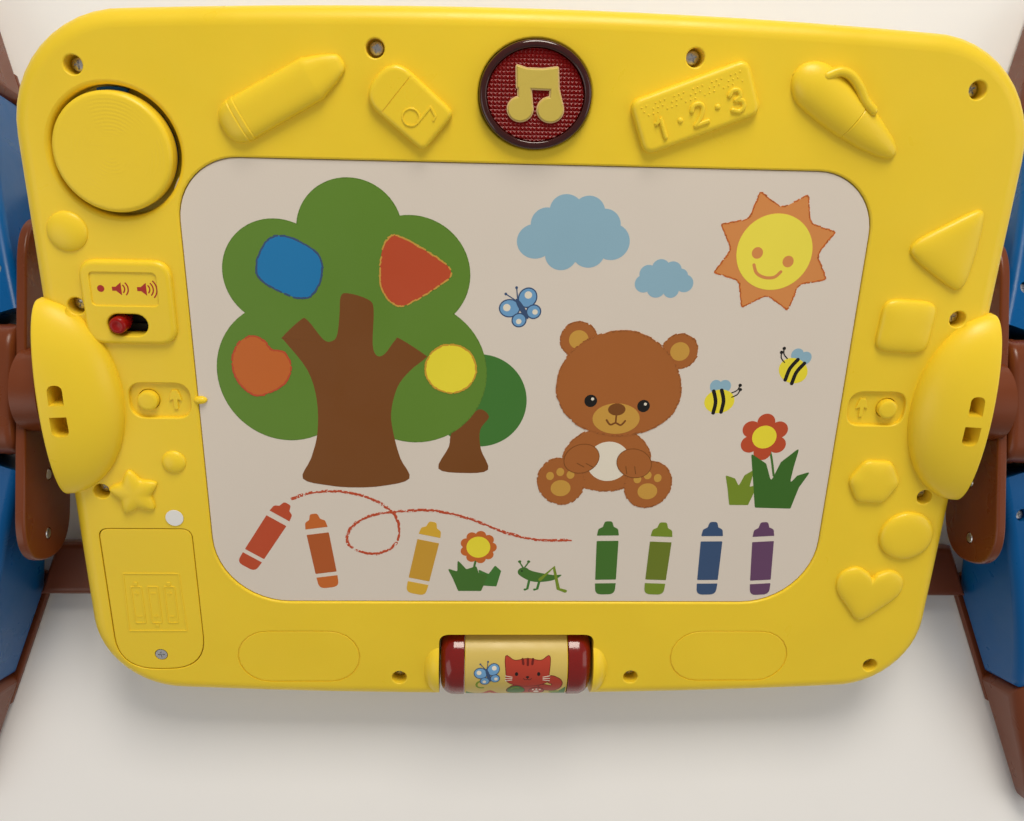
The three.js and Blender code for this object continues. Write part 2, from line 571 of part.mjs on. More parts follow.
// Roller between two cheeks at the front edge.
const roller = new THREE.Group();
roller.position.set(0, ROLLER.y, SEAM);
face.add(roller);
const capStart = ROLLER.halfLength - ROLLER.cap;
piece(roller, "roller_drum", cut(
  rodX(-capStart + CLEAR / 2, capStart - CLEAR / 2, 0, 0, ROLLER.radius - 0.6, 32),
  rodX(-FAR, FAR, 0, 0, ROLLER.axle + CLEAR, 16),
), YELLOW());
for (const [side, hand] of [[-1, "left"], [1, "right"]]) {
  const round = 7;
  const profile = [
    new THREE.Vector2(ROLLER.axle + CLEAR, capStart + CLEAR / 2),
    new THREE.Vector2(ROLLER.radius, capStart + CLEAR / 2),
  ];
  for (let i = 0; i <= 3; i += 1) {
    const angle = (i * Math.PI) / 6;
    profile.push(new THREE.Vector2(
      ROLLER.radius - round + round * Math.cos(angle),
      ROLLER.halfLength - round + round * Math.sin(angle),
    ));
  }
  profile.push(new THREE.Vector2(ROLLER.axle + CLEAR, ROLLER.halfLength), profile[0].clone());
  const cap = new THREE.LatheGeometry(profile, 20).rotateZ(-Math.PI / 2);
  piece(roller, `roller_cap_${hand}`, mirrorX(side, cap), DARK_RED());
}
piece(roller, "roller_axle", rodX(-ROLLER.axleHalf, ROLLER.axleHalf, 0, 0, ROLLER.axle, 16), STEEL());

// ---------- stand ----------

// A leg is drawn in its own coordinates: X away from the hub housing along the leg, Y out from
// its inner face, Z up. The front leg is turned by the toe-out angle; the rear leg mirrors it.
const stand = new THREE.Group();

// The side view of a leg: its crest falls from the hub to the toe, and its arch meets the sole.
function legProfile(crestDrop, bottom) {
  const shape = new THREE.Shape();
  shape.moveTo(0, ARCH_TOP + 2);
  shape.lineTo(0, HUB_TOP - 12 - crestDrop);
  shape.bezierCurveTo(60, 84 - crestDrop, 118, 62 - crestDrop, SHOE_START, 40 - crestDrop);
  shape.lineTo(SHOE_START, bottom);
  shape.lineTo(92, bottom);
  shape.bezierCurveTo(74, bottom + 8, 40, ARCH_TOP, 0, ARCH_TOP + 2);
  return shape;
}

function shoeProfile() {
  const shape = new THREE.Shape();
  shape.moveTo(SOLE_START, 0);
  shape.lineTo(LEG_REACH - 6, 0);
  shape.quadraticCurveTo(LEG_REACH, 0, LEG_REACH, 5);
  shape.bezierCurveTo(LEG_REACH - 4, 22, LEG_REACH - 36, 30, SHOE_START + 26, 34);
  shape.lineTo(SHOE_START + CLEAR, 41);
  shape.lineTo(SHOE_START + CLEAR, SOLE);
  shape.lineTo(SOLE_START, SOLE);
  return shape;
}

// Extrudes a side-view profile across the leg from y0 to y1, with rounded long edges.
function legSlab(shape, y0, y1, round) {
  return slab(shape, -y1, -y0, round, 1, 5).rotateX(Math.PI / 2);
}

// Takes leg coordinates to the stand's: side is -1 left or 1 right, end is -1 front or 1 rear.
function placeLeg(geometry, side, end) {
  const turned = geometry.rotateZ(TOE_OUT - Math.PI / 2);
  return mirrorX(side, mirrorY(end, turned.translate(FRAME_X, -HUB_HALF, 0)));
}

function mirrorY(end, geometry) {
  if (end < 0) return geometry;
  return mirrorX(-1, geometry.rotateZ(Math.PI));
}

function sideFrame(side) {
  const hub = slab(roundedRect(-HUB_HALF, HUB_HALF, ARCH_TOP, HUB_TOP, 14, 4),
    0, LEG_THICKNESS, 3, 2, 4);
  hub.rotateX(Math.PI / 2).rotateZ(Math.PI / 2).translate(FRAME_X, 0, 0);
  const legs = [-1, 1].map((end) => {
    const shell = legSlab(legProfile(3, SOLE + CLEAR), COVER_THICKNESS + CLEAR,
      LEG_THICKNESS, 3);
    const root = legSlab(roundedRect(-12, 4, ARCH_TOP + 2, HUB_TOP - 16, 3), 8, LEG_THICKNESS - 3, 0);
    return mirrorY(end, join(shell, root).rotateZ(TOE_OUT - Math.PI / 2)
      .translate(FRAME_X, -HUB_HALF, 0));
  });
  return mirrorX(side, join(hub, ...legs));
}

// A bar between the two sides: its ends follow the legs' toe-out, clear of the shoes.
function crossBar(end) {
  const reach = (y) => FRAME_X + (y - HUB_HALF) * Math.tan(TOE_OUT)
    - (SHOE_LIP + CLEAR) / Math.cos(TOE_OUT);
  const { inner, outer } = BAR;
  const plan = polygon([
    [-reach(outer), -outer], [reach(outer), -outer], [reach(inner), -inner], [-reach(inner), -inner],
  ]);
  return mirrorY(end, slab(plan, BAR.bottom, BAR.top, 3, 2));
}

const SIDES = [[-1, "left"], [1, "right"]];
const ENDS = [[-1, "front"], [1, "rear"]];

function legCover() {
  const shell = legSlab(legProfile(0, SOLE + CLEAR), 0, COVER_THICKNESS, 4);
  const start = box(10, FAR, -FAR, FAR, -FAR, FAR);
  return keep(shell, start);
}

function shoe() {
  const upright = legSlab(shoeProfile(), -SHOE_LIP, LEG_THICKNESS + SHOE_LIP, 1.2);
  const plan = roundedRect(0, LEG_REACH, -SHOE_LIP, LEG_THICKNESS + SHOE_LIP, TOE_RADIUS);
  return keep(upright, slab(plan, -1, HUB_TOP, 0, 1, 5));
}

// The oval plate on a side frame's inner face, with the pivot pin that enters the board.
function hubPlate(side) {
  const { halfLength, top, bottom, thickness } = PLATE;
  const oval = slab(roundedRect(-halfLength, halfLength, bottom, top, 26), 0, thickness, 1, 1, 6);
  oval.rotateX(Math.PI / 2).rotateZ(Math.PI / 2).translate(FRAME_X - thickness - CLEAR, 0, 0);
  const pin = rodX(PIVOT_END, FRAME_X - 3, 0, HUB_HEIGHT, PIVOT_RADIUS, 24);
  const flange = rodX(DOME.x + 4, FRAME_X - 3, 0, HUB_HEIGHT - 8, 22, 28);
  const latchHole = rodX(PIVOT_END - 1, PIVOT_END + 9, 0, HUB_HEIGHT, LATCH.radius + CLEAR, 12);
  return mirrorX(side, cut(join(oval, pin, flange), latchHole));
}

for (const [side, hand] of SIDES) {
  piece(stand, `side_frame_${hand}`, sideFrame(side), BROWN());
  piece(stand, `hub_plate_${hand}`, hubPlate(side), BROWN());
  for (const [end, where] of ENDS) {
    piece(stand, `leg_cover_${where}_${hand}`, placeLeg(legCover(), side, end), BLUE());
    piece(stand, `foot_shoe_${where}_${hand}`, placeLeg(shoe(), side, end), BROWN());
  }
}
for (const [end, where] of ENDS) {
  piece(stand, `cross_bar_${where}`, crossBar(end), BROWN());
}

const group = new THREE.Group();
const tilt = new THREE.Group();
tilt.position.set(0, 0, HUB_HEIGHT);
tilt.rotation.x = BOARD_TILT;
face.position.set(0, -HUB_Y, -SEAM);
tilt.add(face);
group.add(tilt, stand);

export default group;
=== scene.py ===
import json
import math
import random

import bmesh
import bpy
from mathutils import Matrix, Vector


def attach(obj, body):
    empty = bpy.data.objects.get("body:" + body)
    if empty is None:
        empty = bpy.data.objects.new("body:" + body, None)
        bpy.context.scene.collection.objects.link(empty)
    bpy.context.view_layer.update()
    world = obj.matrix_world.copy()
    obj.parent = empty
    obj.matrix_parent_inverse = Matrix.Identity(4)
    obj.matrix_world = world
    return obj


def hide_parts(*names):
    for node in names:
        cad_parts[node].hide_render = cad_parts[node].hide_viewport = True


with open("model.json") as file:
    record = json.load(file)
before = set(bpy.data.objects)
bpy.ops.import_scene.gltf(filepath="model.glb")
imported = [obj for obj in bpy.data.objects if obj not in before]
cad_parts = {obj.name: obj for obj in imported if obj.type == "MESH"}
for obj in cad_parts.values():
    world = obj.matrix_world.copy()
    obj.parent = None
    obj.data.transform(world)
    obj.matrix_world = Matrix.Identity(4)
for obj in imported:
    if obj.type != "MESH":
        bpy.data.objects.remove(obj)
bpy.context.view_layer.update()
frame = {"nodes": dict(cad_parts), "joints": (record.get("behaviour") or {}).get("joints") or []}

# The board's pieces are drawn in face coordinates, in millimetres: X right, Y up the board,
# Z out of the drawing side, with Z = 0 on the drawing face. FACE takes them to the frame.

MM = 0.001
JOINTS = {joint["name"]: joint for joint in frame["joints"]}
TILT_AXIS = Vector(JOINTS["board_tilt"]["pos_m"])
PRESS = JOINTS["note_press"]["axis"]
TILT = math.atan2(PRESS[1], -PRESS[2])
HUB_Y = -2.5
SEAM = -15.0
FACE = (
    Matrix.Translation(TILT_AXIS)
    @ Matrix.Rotation(TILT, 4, "X")
    @ Matrix.Translation((0, -HUB_Y * MM, -SEAM * MM))
    @ Matrix.Scale(MM, 4)
)
WORLD = Matrix.Scale(MM, 4)

CLEAR = 0.3
WALL = 2.6
THICKNESS = 30.0
EDGE_RADIUS = 8.0
ROOT = -1.5
PANEL_Z = -0.9
PANEL_LEDGE = 4
POD_Z = 2.8
POCKET_Z = -2.2
ROLLER_Y = -168.0
ROLLER_BORE = 2.8
DRUM_RADIUS = 21.9
SPINNER = (-194.0, 120.0)
SPINNER_RECESS = 29.6
SPINNER_BORE = 3.3
NOTE = (0.0, 150.0)
VOLUME = (-196.0, 49.0)
SLOT = (-197.2, 38.0)
RELEASE = (193.0, -2.5)
DOOR = (-228, -178, -167, -76)
DOOR_SCREW = (-203, -157)
SPEAKER = (112, -70)
FIELD = (125, -158.3)
PIN_BORE = 4.3
WELLS = [
    (-208, 157.5), (208, 157.5), (-73, 168), (73, 168), (-222, 46.5), (221, 47),
    (-223, -54), (223, -54), (-68, -173), (68, -173), (211, -165),
]
SIDES = ((-1, "left"), (1, "right"))
random.seed(7)


# ---------- outlines: lists of (x, y) in millimetres, anticlockwise ----------

def arc(cx, cy, rx, start, end, steps=8, ry=None):
    ry = rx if ry is None else ry
    angles = [math.radians(start + (end - start) * i / steps) for i in range(steps + 1)]
    return [(cx + rx * math.cos(a), cy + ry * math.sin(a)) for a in angles]


def oval(cx, cy, rx, ry=None, steps=40, turn=0.0):
    return turned(arc(0, 0, rx, 0, 360, steps, ry)[:-1], turn, cx, cy)


def turned(points, degrees, dx=0.0, dy=0.0, scale=1.0):
    c, s = math.cos(math.radians(degrees)) * scale, math.sin(math.radians(degrees)) * scale
    return [(x * c - y * s + dx, x * s + y * c + dy) for x, y in points]


def rect(x0, x1, y0, y1, radius, steps=7):
    return rounded([(x0, y0), (x1, y0), (x1, y1), (x0, y1)], radius, steps)


def stadium(cx, cy, length, width, turn=0.0):
    h = length / 2 - width / 2
    ends = arc(h, 0, width / 2, -90, 90, 10) + arc(-h, 0, width / 2, 90, 270, 10)
    return turned(ends, turn, cx, cy)


def rounded(corners, radius, steps=6):
    """A polygon with each corner turned into an arc; radius is one number or one for each corner."""
    radii = radius if isinstance(radius, (list, tuple)) else [radius] * len(corners)
    points = []
    for i, corner in enumerate(corners):
        here = Vector(corner)
        before = (Vector(corners[i - 1]) - here)
        after = (Vector(corners[(i + 1) % len(corners)]) - here)
        half = before.angle(after) / 2
        reach = min(radii[i] / math.tan(half), before.length * 0.49, after.length * 0.49)
        if reach < 0.05:
            points.append(corner)
            continue
        a = here + before.normalized() * reach
        b = here + after.normalized() * reach
        for k in range(steps + 1):
            t = k / steps
            points.append(tuple(a * (1 - t) ** 2 + here * 2 * t * (1 - t) + b * t ** 2))
    return points


def smooth(corners, steps=6, closed=True):
    """A Catmull-Rom curve through the corners."""
    n = len(corners)
    spans = n if closed else n - 1
    points = []
    for i in range(spans):
        p = [Vector(corners[(i + k) % n] if closed else corners[min(max(i + k, 0), n - 1)])
             for k in (-1, 0, 1, 2)]
        for k in range(steps):
            t = k / steps
            points.append(tuple(0.5 * (
                2 * p[1] + (p[2] - p[0]) * t
                + (2 * p[0] - 5 * p[1] + 4 * p[2] - p[3]) * t * t
                + (3 * p[1] - p[0] - 3 * p[2] + p[3]) * t ** 3)))
    if not closed:
        points.append(tuple(corners[-1]))
    return points


def star(count, outer, inner, start, cx=0.0, cy=0.0):
    """The corners of a star with so many tips, the first one at the start angle."""
    points = []
    for i in range(2 * count):
        radius = inner if i % 2 else outer
        a = math.radians(start + 180 * i / count)
        points.append((cx + radius * math.cos(a), cy + radius * math.sin(a)))
    return points


def area(points):
    return sum(a[0] * b[1] - b[0] * a[1] for a, b in zip(points, points[1:] + points[:1])) / 2


def inset(points, distance):
    """The outline moved inwards along its corners' bisectors."""
    if distance == 0:
        return points
    sign = 1 if area(points) > 0 else -1
    moved = []
    n = len(points)
    for i in range(n):
        here = Vector(points[i])
        a = here - Vector(points[i - 1])
        b = Vector(points[(i + 1) % n]) - here
        if a.length < 1e-6 or b.length < 1e-6:
            a = b = (a if a.length > b.length else b)
        na = Vector((-a.y, a.x)).normalized()
        nb = Vector((-b.y, b.x)).normalized()
        middle = (na + nb)
        if middle.length < 1e-6:
            middle = na
        middle.normalize()
        miter = distance / max(0.5, middle.dot(na))
        moved.append(tuple(here + middle * miter * sign))
    return moved


def ribbon(points, half):
    """The outline of a stroke along the points, with round ends."""
    left, right = [], []
    n = len(points)
    for i, point in enumerate(points):
        a = Vector(points[max(i - 1, 0)])
        b = Vector(points[min(i + 1, n - 1)])
        side = Vector((-(b - a).y, (b - a).x)).normalized()
        here = Vector(point)
        left.append(tuple(here + side * half))
        right.append(tuple(here - side * half))
    ends = []
    for at, towards in ((points[-1], points[-2]), (points[0], points[1])):
        out = math.degrees(math.atan2(at[1] - towards[1], at[0] - towards[0]))
        ends.append(arc(*at, half, out - 90, out + 90, 6)[1:-1])
    return right + ends[0] + left[::-1] + ends[1]


def board_outline(d=0.0):
    """The board's outline moved in by d: straight sides, bowed long edges."""
    x, top, bottom, crown = 240 - d, 182 - d, -183 + d, 5

    def bow(x0, x1, y, rise):
        steps = 24
        return [(x0 + (x1 - x0) * i / steps, y + 4 * rise * (i / steps) * (1 - i / steps))
                for i in range(1, steps)]

    points = arc(192, -135, 48 - d, -90, 0, 12)
    points += arc(184, 126, 56 - d, 0, 90, 12)
    points += bow(184, -184, top, crown)
    points += arc(-184, 126, 56 - d, 90, 180, 12)
    points += arc(-192, -135, 48 - d, 180, 270, 12)
    points += bow(-192, 192, bottom, -crown)
    return points


def panel_outline(grow=0.0):
    x, top, bottom = 168 + grow, 119 + grow, -122 - grow
    return (arc(x - 40, bottom + 40, 40, -90, 0, 12) + arc(x - 30, top - 30, 30, 0, 90, 12)
            + arc(-x + 30, top - 30, 30, 90, 180, 12) + arc(-x + 40, bottom + 40, 40, 180, 270, 12))


def door_outline(grow, radii, steps):
    """The battery door's opening, moved out by grow."""
    x0, x1, y0, y1 = DOOR
    return rect(x0 - grow, x1 + grow, y0 - grow, y1 + grow, radii, steps)


# ---------- solids, in millimetres ----------

def loft(rings):
    """A closed mesh through rings of equal length, capped at both ends."""
    bm = bmesh.new()
    rows = [[bm.verts.new(point) for point in ring] for ring in rings]
    n = len(rows[0])
    for low, high in zip(rows, rows[1:]):
        for i in range(n):
            bm.faces.new((low[i], low[(i + 1) % n], high[(i + 1) % n], high[i]))
    bm.faces.new(rows[0][::-1])
    bm.faces.new(rows[-1])
    bmesh.ops.recalc_face_normals(bm, faces=bm.faces)
    return bm


def pillow(outline, z0, z1, top=0.0, bottom=0.0, steps=5):
    """An outline extruded from z0 to z1, its edges rounded."""
    rings = []
    for i in range(steps if bottom else 0):
        a = math.pi / 2 * i / steps
        rings.append((bottom * (1 - math.sin(a)), z0 + bottom * (1 - math.cos(a))))
    rings.append((0, z0 + bottom))
    rings.append((0, z1 - top))
    for i in range(1, steps + 1 if top else 0):
        a = math.pi / 2 * i / steps
        rings.append((top * (1 - math.cos(a)), z1 - top * (1 - math.sin(a))))
    if top > 0.5:
        rings.append((top + 0.5, z1 + 0.012))
    return loft([[(x, y, z) for x, y in inset(outline, d)] for d, z in rings])


def puff(outline, height, power=3.2, root=-1.5, steps=12):
    """A soft relief: the outline at the face, swelling like a cushion up to its middle."""
    cx = sum(x for x, _ in outline) / len(outline)
    cy = sum(y for _, y in outline) / len(outline)
    rings = [[(x, y, root) for x, y in outline]]
    for i in range(steps + 1):
        a = math.radians(89 * i / steps)
        scale, z = math.cos(a) ** (2 / power), height * math.sin(a) ** (2 / power)
        rings.append([(cx + (x - cx) * scale, cy + (y - cy) * scale, z) for x, y in outline])
    return loft(rings)


def flare(outline, depth, face=0.0, lip=0.7, steps=3, reach=12.0):
    """A cutter with the outline below the face that widens to a rounded lip at it."""
    rings = [(0, depth), (0, face - lip)]
    for i in range(1, steps + 1):
        a = math.pi / 2 * i / steps
        rings.append((-lip * (1 - math.cos(a)), face - lip * (1 - math.sin(a))))
    rings.append((-lip, face + reach))
    return loft([[(x, y, z) for x, y in inset(outline, d)] for d, z in rings])


def spindle(stations, exponent=2.0, sides=26, root=-1.5):
    """A half-round bar along X, on the face: stations are (x, half width, height)."""
    rings = []
    for x, width, height in stations:
        ring = [(x, width, root)]
        for i in range(sides + 1):
            t = math.pi * i / sides
            c, s = math.cos(t), math.sin(t)
            y = math.copysign(abs(c) ** (2 / exponent), c) * width
            ring.append((x, y, max(abs(s), 1e-4) ** (2 / exponent) * height))
        ring.append((x, -width, root))
        rings.append(ring)
    return loft(rings)


def lathe(profile, sides=64):
    """A solid of revolution about Z from (radius, z) points that start and end on the axis."""
    bm = bmesh.new()
    rows = []
    for radius, z in profile:
        if radius < 1e-6:
            rows.append([bm.verts.new((0, 0, z))])
        else:
            rows.append([bm.verts.new((radius * math.cos(2 * math.pi * i / sides),
                                       radius * math.sin(2 * math.pi * i / sides), z))
                         for i in range(sides)])
    for low, high in zip(rows, rows[1:]):
        for i in range(sides):
            k = (i + 1) % sides
            ring = [low[i % len(low)], low[k % len(low)], high[k % len(high)], high[i % len(high)]]
            face = list(dict.fromkeys(ring))
            if len(face) > 2:
                bm.faces.new(face)
    bmesh.ops.recalc_face_normals(bm, faces=bm.faces)
    return bm


def dome(rx, ry, rz, sides=48, rings=14):
    """The upper half of an ellipsoid, with a short collar under it."""
    collar = -0.12
    bm = lathe([(0, collar), (1, collar)] + arc(0, 0, 1, 0, 90, rings), sides)
    bmesh.ops.scale(bm, vec=(rx, ry, rz), verts=bm.verts)
    return bm


def placed(bm, matrix):
    """The solid moved by the matrix, and turned right side out where that mirrors it."""
    bmesh.ops.transform(bm, matrix=matrix, verts=bm.verts)
    if matrix.determinant() < 0:
        bmesh.ops.reverse_faces(bm, faces=bm.faces)
    return bm


def moved(bm, x=0.0, y=0.0, z=0.0, turn=0.0):
    return placed(bm, Matrix.Translation((x, y, z)) @ Matrix.Rotation(math.radians(turn), 4, "Z"))


def mirrored(bm, side):
    return placed(bm, Matrix.Diagonal((side, 1, 1, 1)))


def along_x(bm):
    """Turns a solid drawn along Z so that it lies along X."""
    return placed(bm, Matrix.Rotation(math.pi / 2, 4, "Y"))


def block(x0, x1, y0, y1, z0, z1):
    return loft([[(x0, y0, z), (x1, y0, z), (x1, y1, z), (x0, y1, z)] for z in (z0, z1)])


def rod(x, y, z0, z1, radius, sides=32):
    return moved(lathe([(0, z0), (radius, z0), (radius, z1), (0, z1)], sides), x, y)


def rod_x(x0, x1, radius, sides=32, y=0.0, z=0.0):
    """A rod along X."""
    return moved(along_x(rod(0, 0, x0, x1, radius, sides)), 0, y, z)


def cross(half, half_width, z0, z1, turn=0.0):
    """The cuts of a cross slot."""
    return cut(moved(block(-half, half, -half_width, half_width, z0, z1), turn=turn),
               moved(block(-half_width, half_width, -half, half, z0, z1), turn=turn))


def joined(*parts):
    """Several solids in one mesh, each still closed."""
    whole = bmesh.new()
    for part in parts:
        mesh = bpy.data.meshes.new("part")
        part.to_mesh(mesh)
        part.free()
        whole.from_mesh(mesh)
        bpy.data.meshes.remove(mesh)
    return whole


def join(*solids):
    return [("UNION", solid) for solid in solids]


def cut(*solids):
    return [("DIFFERENCE", solid) for solid in solids]


def carved(base, steps):
    """Joins, cuts or clips solids one after another; steps are (operation, solid)."""
    def temporary(bm, name):
        bmesh.ops.triangulate(bm, faces=[f for f in bm.faces if len(f.verts) > 4])
        mesh = bpy.data.meshes.new(name)
        bm.to_mesh(mesh)
        bm.free()
        item = bpy.data.objects.new(name, mesh)
        bpy.context.scene.collection.objects.link(item)
        return item

    def discard(item):
        mesh = item.data
        bpy.data.objects.remove(item)
        bpy.data.meshes.remove(mesh)

    target = temporary(base, "carve_base")
    for operation, tool in steps:
        cutter = temporary(tool, "carve_tool")
        modifier = target.modifiers.new("carve", "BOOLEAN")
        modifier.operation = operation
        modifier.solver = "MANIFOLD"
        modifier.object = cutter
        evaluated = target.evaluated_get(bpy.context.evaluated_depsgraph_get())
        result = bpy.data.meshes.new_from_object(evaluated)
        target.modifiers.clear()
        old = target.data
        target.data = result
        bpy.data.meshes.remove(old)
        discard(cutter)
    bm = bmesh.new()
    bm.from_mesh(target.data)
    discard(target)
    return bm


def add(name, bm, body, material, place=FACE, replaces=(), sharp=35.0, weighted=True):
    """Puts a solid into the scene: on its body, with its materials."""
    placed(bm, place)
    mesh = bpy.data.meshes.new(name)
    bm.to_mesh(mesh)
    bm.free()
    mesh.shade_smooth()
    mesh.set_sharp_from_angle(angle=math.radians(sharp))
    piece = bpy.data.objects.new(name, mesh)
    bpy.context.scene.collection.objects.link(piece)
    for entry in material if isinstance(material, list) else [material]:
        mesh.materials.append(entry)
    if weighted:
        modifier = piece.modifiers.new("weighted normals", "WEIGHTED_NORMAL")
        modifier.keep_sharp = True
    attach(piece, body)
    if replaces:
        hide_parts(*replaces)


# ---------- materials ----------

def node(material, kind, **inputs):
    """A new node of the material; _ stands for the space in an input's name."""
    made = material.node_tree.nodes.new("ShaderNode" + kind)
    for name, value in inputs.items():
        made.inputs[name.replace("_", " ")].default_value = value
    return made


def wire(output, target):
    output.id_data.links.new(output, target)


def shader_of(material):
    return material.node_tree.nodes["Principled BSDF"].inputs


def noise(material, vector, **inputs):
    made = node(material, "TexNoise", **inputs)
    wire(vector, made.inputs["Vector"])
    return made.outputs["Fac"]


def spread(material, source, **inputs):
    """The source's values stretched from one range to another."""
    made = node(material, "MapRange", **inputs)
    wire(source, made.inputs["Value"])
    return made.outputs["Result"]


def combined(material, operation, first, second):
    made = node(material, "Math")
    made.operation = operation
    wire(first, made.inputs[0])
    wire(second, made.inputs[1])
    return made.outputs["Value"]


def coloured(material, source, *stops):
    """The base colour from the source's values; stops are two (position, colour)."""
    ramp = node(material, "ValToRGB")
    for element, (position, colour) in zip(ramp.color_ramp.elements, stops):
        element.position = position
        element.color = (*colour, 1)
    wire(source, ramp.inputs["Fac"])
    wire(ramp.outputs["Color"], shader_of(material)["Base Color"])


def bumped(material, height, strength, distance):
    bump = node(material, "Bump", Strength=strength, Distance=distance)
    wire(height, bump.inputs["Height"])
    wire(bump.outputs["Normal"], shader_of(material)["Normal"])
    return bump


def object_place(material):
    return material.node_tree.nodes["Texture Coordinate"].outputs["Object"]


def plastic(name, colour, roughness=0.32, vary=0.05, grain=0.00035, scratches=0.25, coat=0.0,
            subsurface=0.0, specular=0.35):
    """Moulded plastic: slow colour drift, uneven gloss, fine scratches and a faint texture."""
    material = bpy.data.materials.new(name)
    material.use_nodes = True
    settings = {
        "Coat Weight": coat, "Coat Roughness": 0.08, "IOR": 1.5, "Specular IOR Level": specular,
        "Subsurface Weight": subsurface, "Subsurface Radius": (0.004, 0.002, 0.001),
    }
    for socket, value in settings.items():
        shader_of(material)[socket].default_value = value
    node(material, "TexCoord")
    place = object_place(material)

    drift = noise(material, place, Scale=9, Detail=6)
    darker, lighter = [[min(1.0, c * gain) for c in colour] for gain in (1 - vary, 1 + vary)]
    coloured(material, drift, (0.3, darker), (0.7, lighter))

    smears = noise(material, place, Scale=38, Detail=8, Distortion=0.6)
    gloss = spread(material, smears, From_Min=0.3, From_Max=0.75, To_Min=roughness * 0.8,
                   To_Max=min(1.0, roughness * 1.35))
    wire(gloss, shader_of(material)["Roughness"])

    texture = noise(material, place, Scale=1400, Detail=3)
    stretch = node(material, "Mapping", Scale=(40, 900, 300), Rotation=(0.2, 0.1, 0.6))
    wire(place, stretch.inputs["Vector"])
    hairs = noise(material, stretch.outputs["Vector"], Scale=1.0, Detail=2)
    scored = spread(material, hairs, From_Min=0.66, From_Max=0.74, To_Max=-scratches)
    bumped(material, combined(material, "ADD", texture, scored), 0.12, grain)
    return material


def scuffed(material, centre):
    """Adds faint broken circles round the centre, as left by many turns."""
    under = material.node_tree.nodes["Bump"]
    about = node(material, "Mapping", Location=[-value for value in centre])
    wire(object_place(material), about.inputs["Vector"])
    circles = node(material, "TexWave", Scale=190, Distortion=1.5, Detail=3, Detail_Scale=0.4)
    circles.wave_type = "RINGS"
    circles.rings_direction = "SPHERICAL"
    wire(about.outputs["Vector"], circles.inputs["Vector"])
    patches = noise(material, about.outputs["Vector"], Scale=70, Detail=2)
    mask = spread(material, patches, From_Min=0.50, From_Max=0.62)
    worn = combined(material, "MULTIPLY", circles.outputs["Fac"], mask)
    bump = bumped(material, worn, 0.35, 0.00012)
    wire(under.outputs["Normal"], bump.inputs["Normal"])
    return material


def metal(name, colour, roughness=0.28):
    material = plastic(name, colour, roughness, vary=0.12, scratches=0.6)
    shader_of(material)["Metallic"].default_value = 1.0
    return material


BOARD_WHITE = (0.73, 0.66, 0.58)


def ink(name, colour, under=BOARD_WHITE, wax=0.0):
    """Printed colour; with wax it breaks up over the colour under it, as crayon does."""
    material = plastic(name, colour, 0.36, vary=0.04, scratches=0.1)
    if wax:
        grain = noise(material, object_place(material), Scale=900, Detail=4)
        coloured(material, grain, (0.60 - wax, under), (0.64 - wax, colour))
    return material


YELLOW_COLOUR = (0.88, 0.63, 0.030)
YELLOW = plastic("yellow_moulded", YELLOW_COLOUR, 0.34, subsurface=0.05)
DISC_YELLOW = scuffed(
    plastic("yellow_disc", YELLOW_COLOUR, 0.36, scratches=0.9, grain=0.0005),
    FACE @ Vector((*SPINNER, 4.0)))
WHITE = plastic("white_board", BOARD_WHITE, 0.36, vary=0.015, scratches=0.15)
RED = plastic("red_moulded", (0.30, 0.006, 0.005), 0.22, subsurface=0.05, specular=0.25)
LENS = plastic("red_lens", (0.20, 0.003, 0.003), 0.22, coat=0.04, subsurface=0.1, specular=0.12)
DARK_RED = plastic("dark_red_gloss", (0.040, 0.003, 0.002), 0.12, coat=0.45, subsurface=0.1)
CAP_RED = plastic("cap_red_gloss", (0.20, 0.006, 0.004), 0.14, coat=0.45, subsurface=0.15)
BLUE = plastic("blue_moulded", (0.001, 0.090, 0.29), 0.30, specular=0.2)
BROWN = plastic("brown_moulded", (0.155, 0.036, 0.010), 0.30)
BLACK = plastic("black_moulded", (0.02, 0.02, 0.02), 0.5)
GREEN = plastic("solder_mask", (0.02, 0.16, 0.06), 0.35)
JACKET = plastic("battery_jacket", (0.03, 0.10, 0.32), 0.3, coat=0.5)
PAPER = plastic("sticker_paper", (0.82, 0.82, 0.80), 0.55, grain=0.0006)
STEEL = metal("zinc_steel", (0.62, 0.62, 0.63))

INK_COLOURS = {
    "tree": (0.119, 0.245, 0.027), "bush": (0.055, 0.192, 0.032), "trunk": (0.193, 0.065, 0.011),
    "blue": (0.010, 0.192, 0.460), "red": (0.511, 0.074, 0.024), "orange": (0.567, 0.140, 0.023),
    "fruit_yellow": (0.845, 0.730, 0.041), "cloud": (0.279, 0.470, 0.595),
    "sun": (0.682, 0.269, 0.078), "sun_face": (0.882, 0.766, 0.080), "bear": (0.391, 0.127, 0.028),
    "ear": (0.596, 0.327, 0.057), "petal": (0.471, 0.063, 0.028),
    "grass": (0.044, 0.147, 0.018), "green": (0.059, 0.169, 0.025), "lime": (0.185, 0.274, 0.021),
    "amber": (0.596, 0.327, 0.032), "navy": (0.041, 0.084, 0.184), "purple": (0.131, 0.057, 0.133),
    "butterfly": (0.16, 0.36, 0.62), "label": (0.62, 0.47, 0.12), "cat": (0.42, 0.045, 0.024),
    "red_orange": (0.44, 0.10, 0.02), "fruit_amber": (0.70, 0.42, 0.035),
    "lime_dark": (0.15, 0.20, 0.018), "cat_line": (0.14, 0.012, 0.008),
    "dark": (0.010, 0.008, 0.007), "cream": (0.80, 0.74, 0.62),
}
INKS = {key: ink("ink_" + key, colour) for key, colour in INK_COLOURS.items()}
for key in ("tree", "orange", "bear"):
    shade = tuple(0.72 * c for c in INK_COLOURS[key])
    INKS["rough_" + key] = ink("crayon_" + key, shade, under=INK_COLOURS[key], wax=0.09)
INKS["wax_red"] = ink("crayon_line_red", INK_COLOURS["red"], wax=0.16)
INK_RED = ink("ink_mark_red", (0.40, 0.020, 0.012))
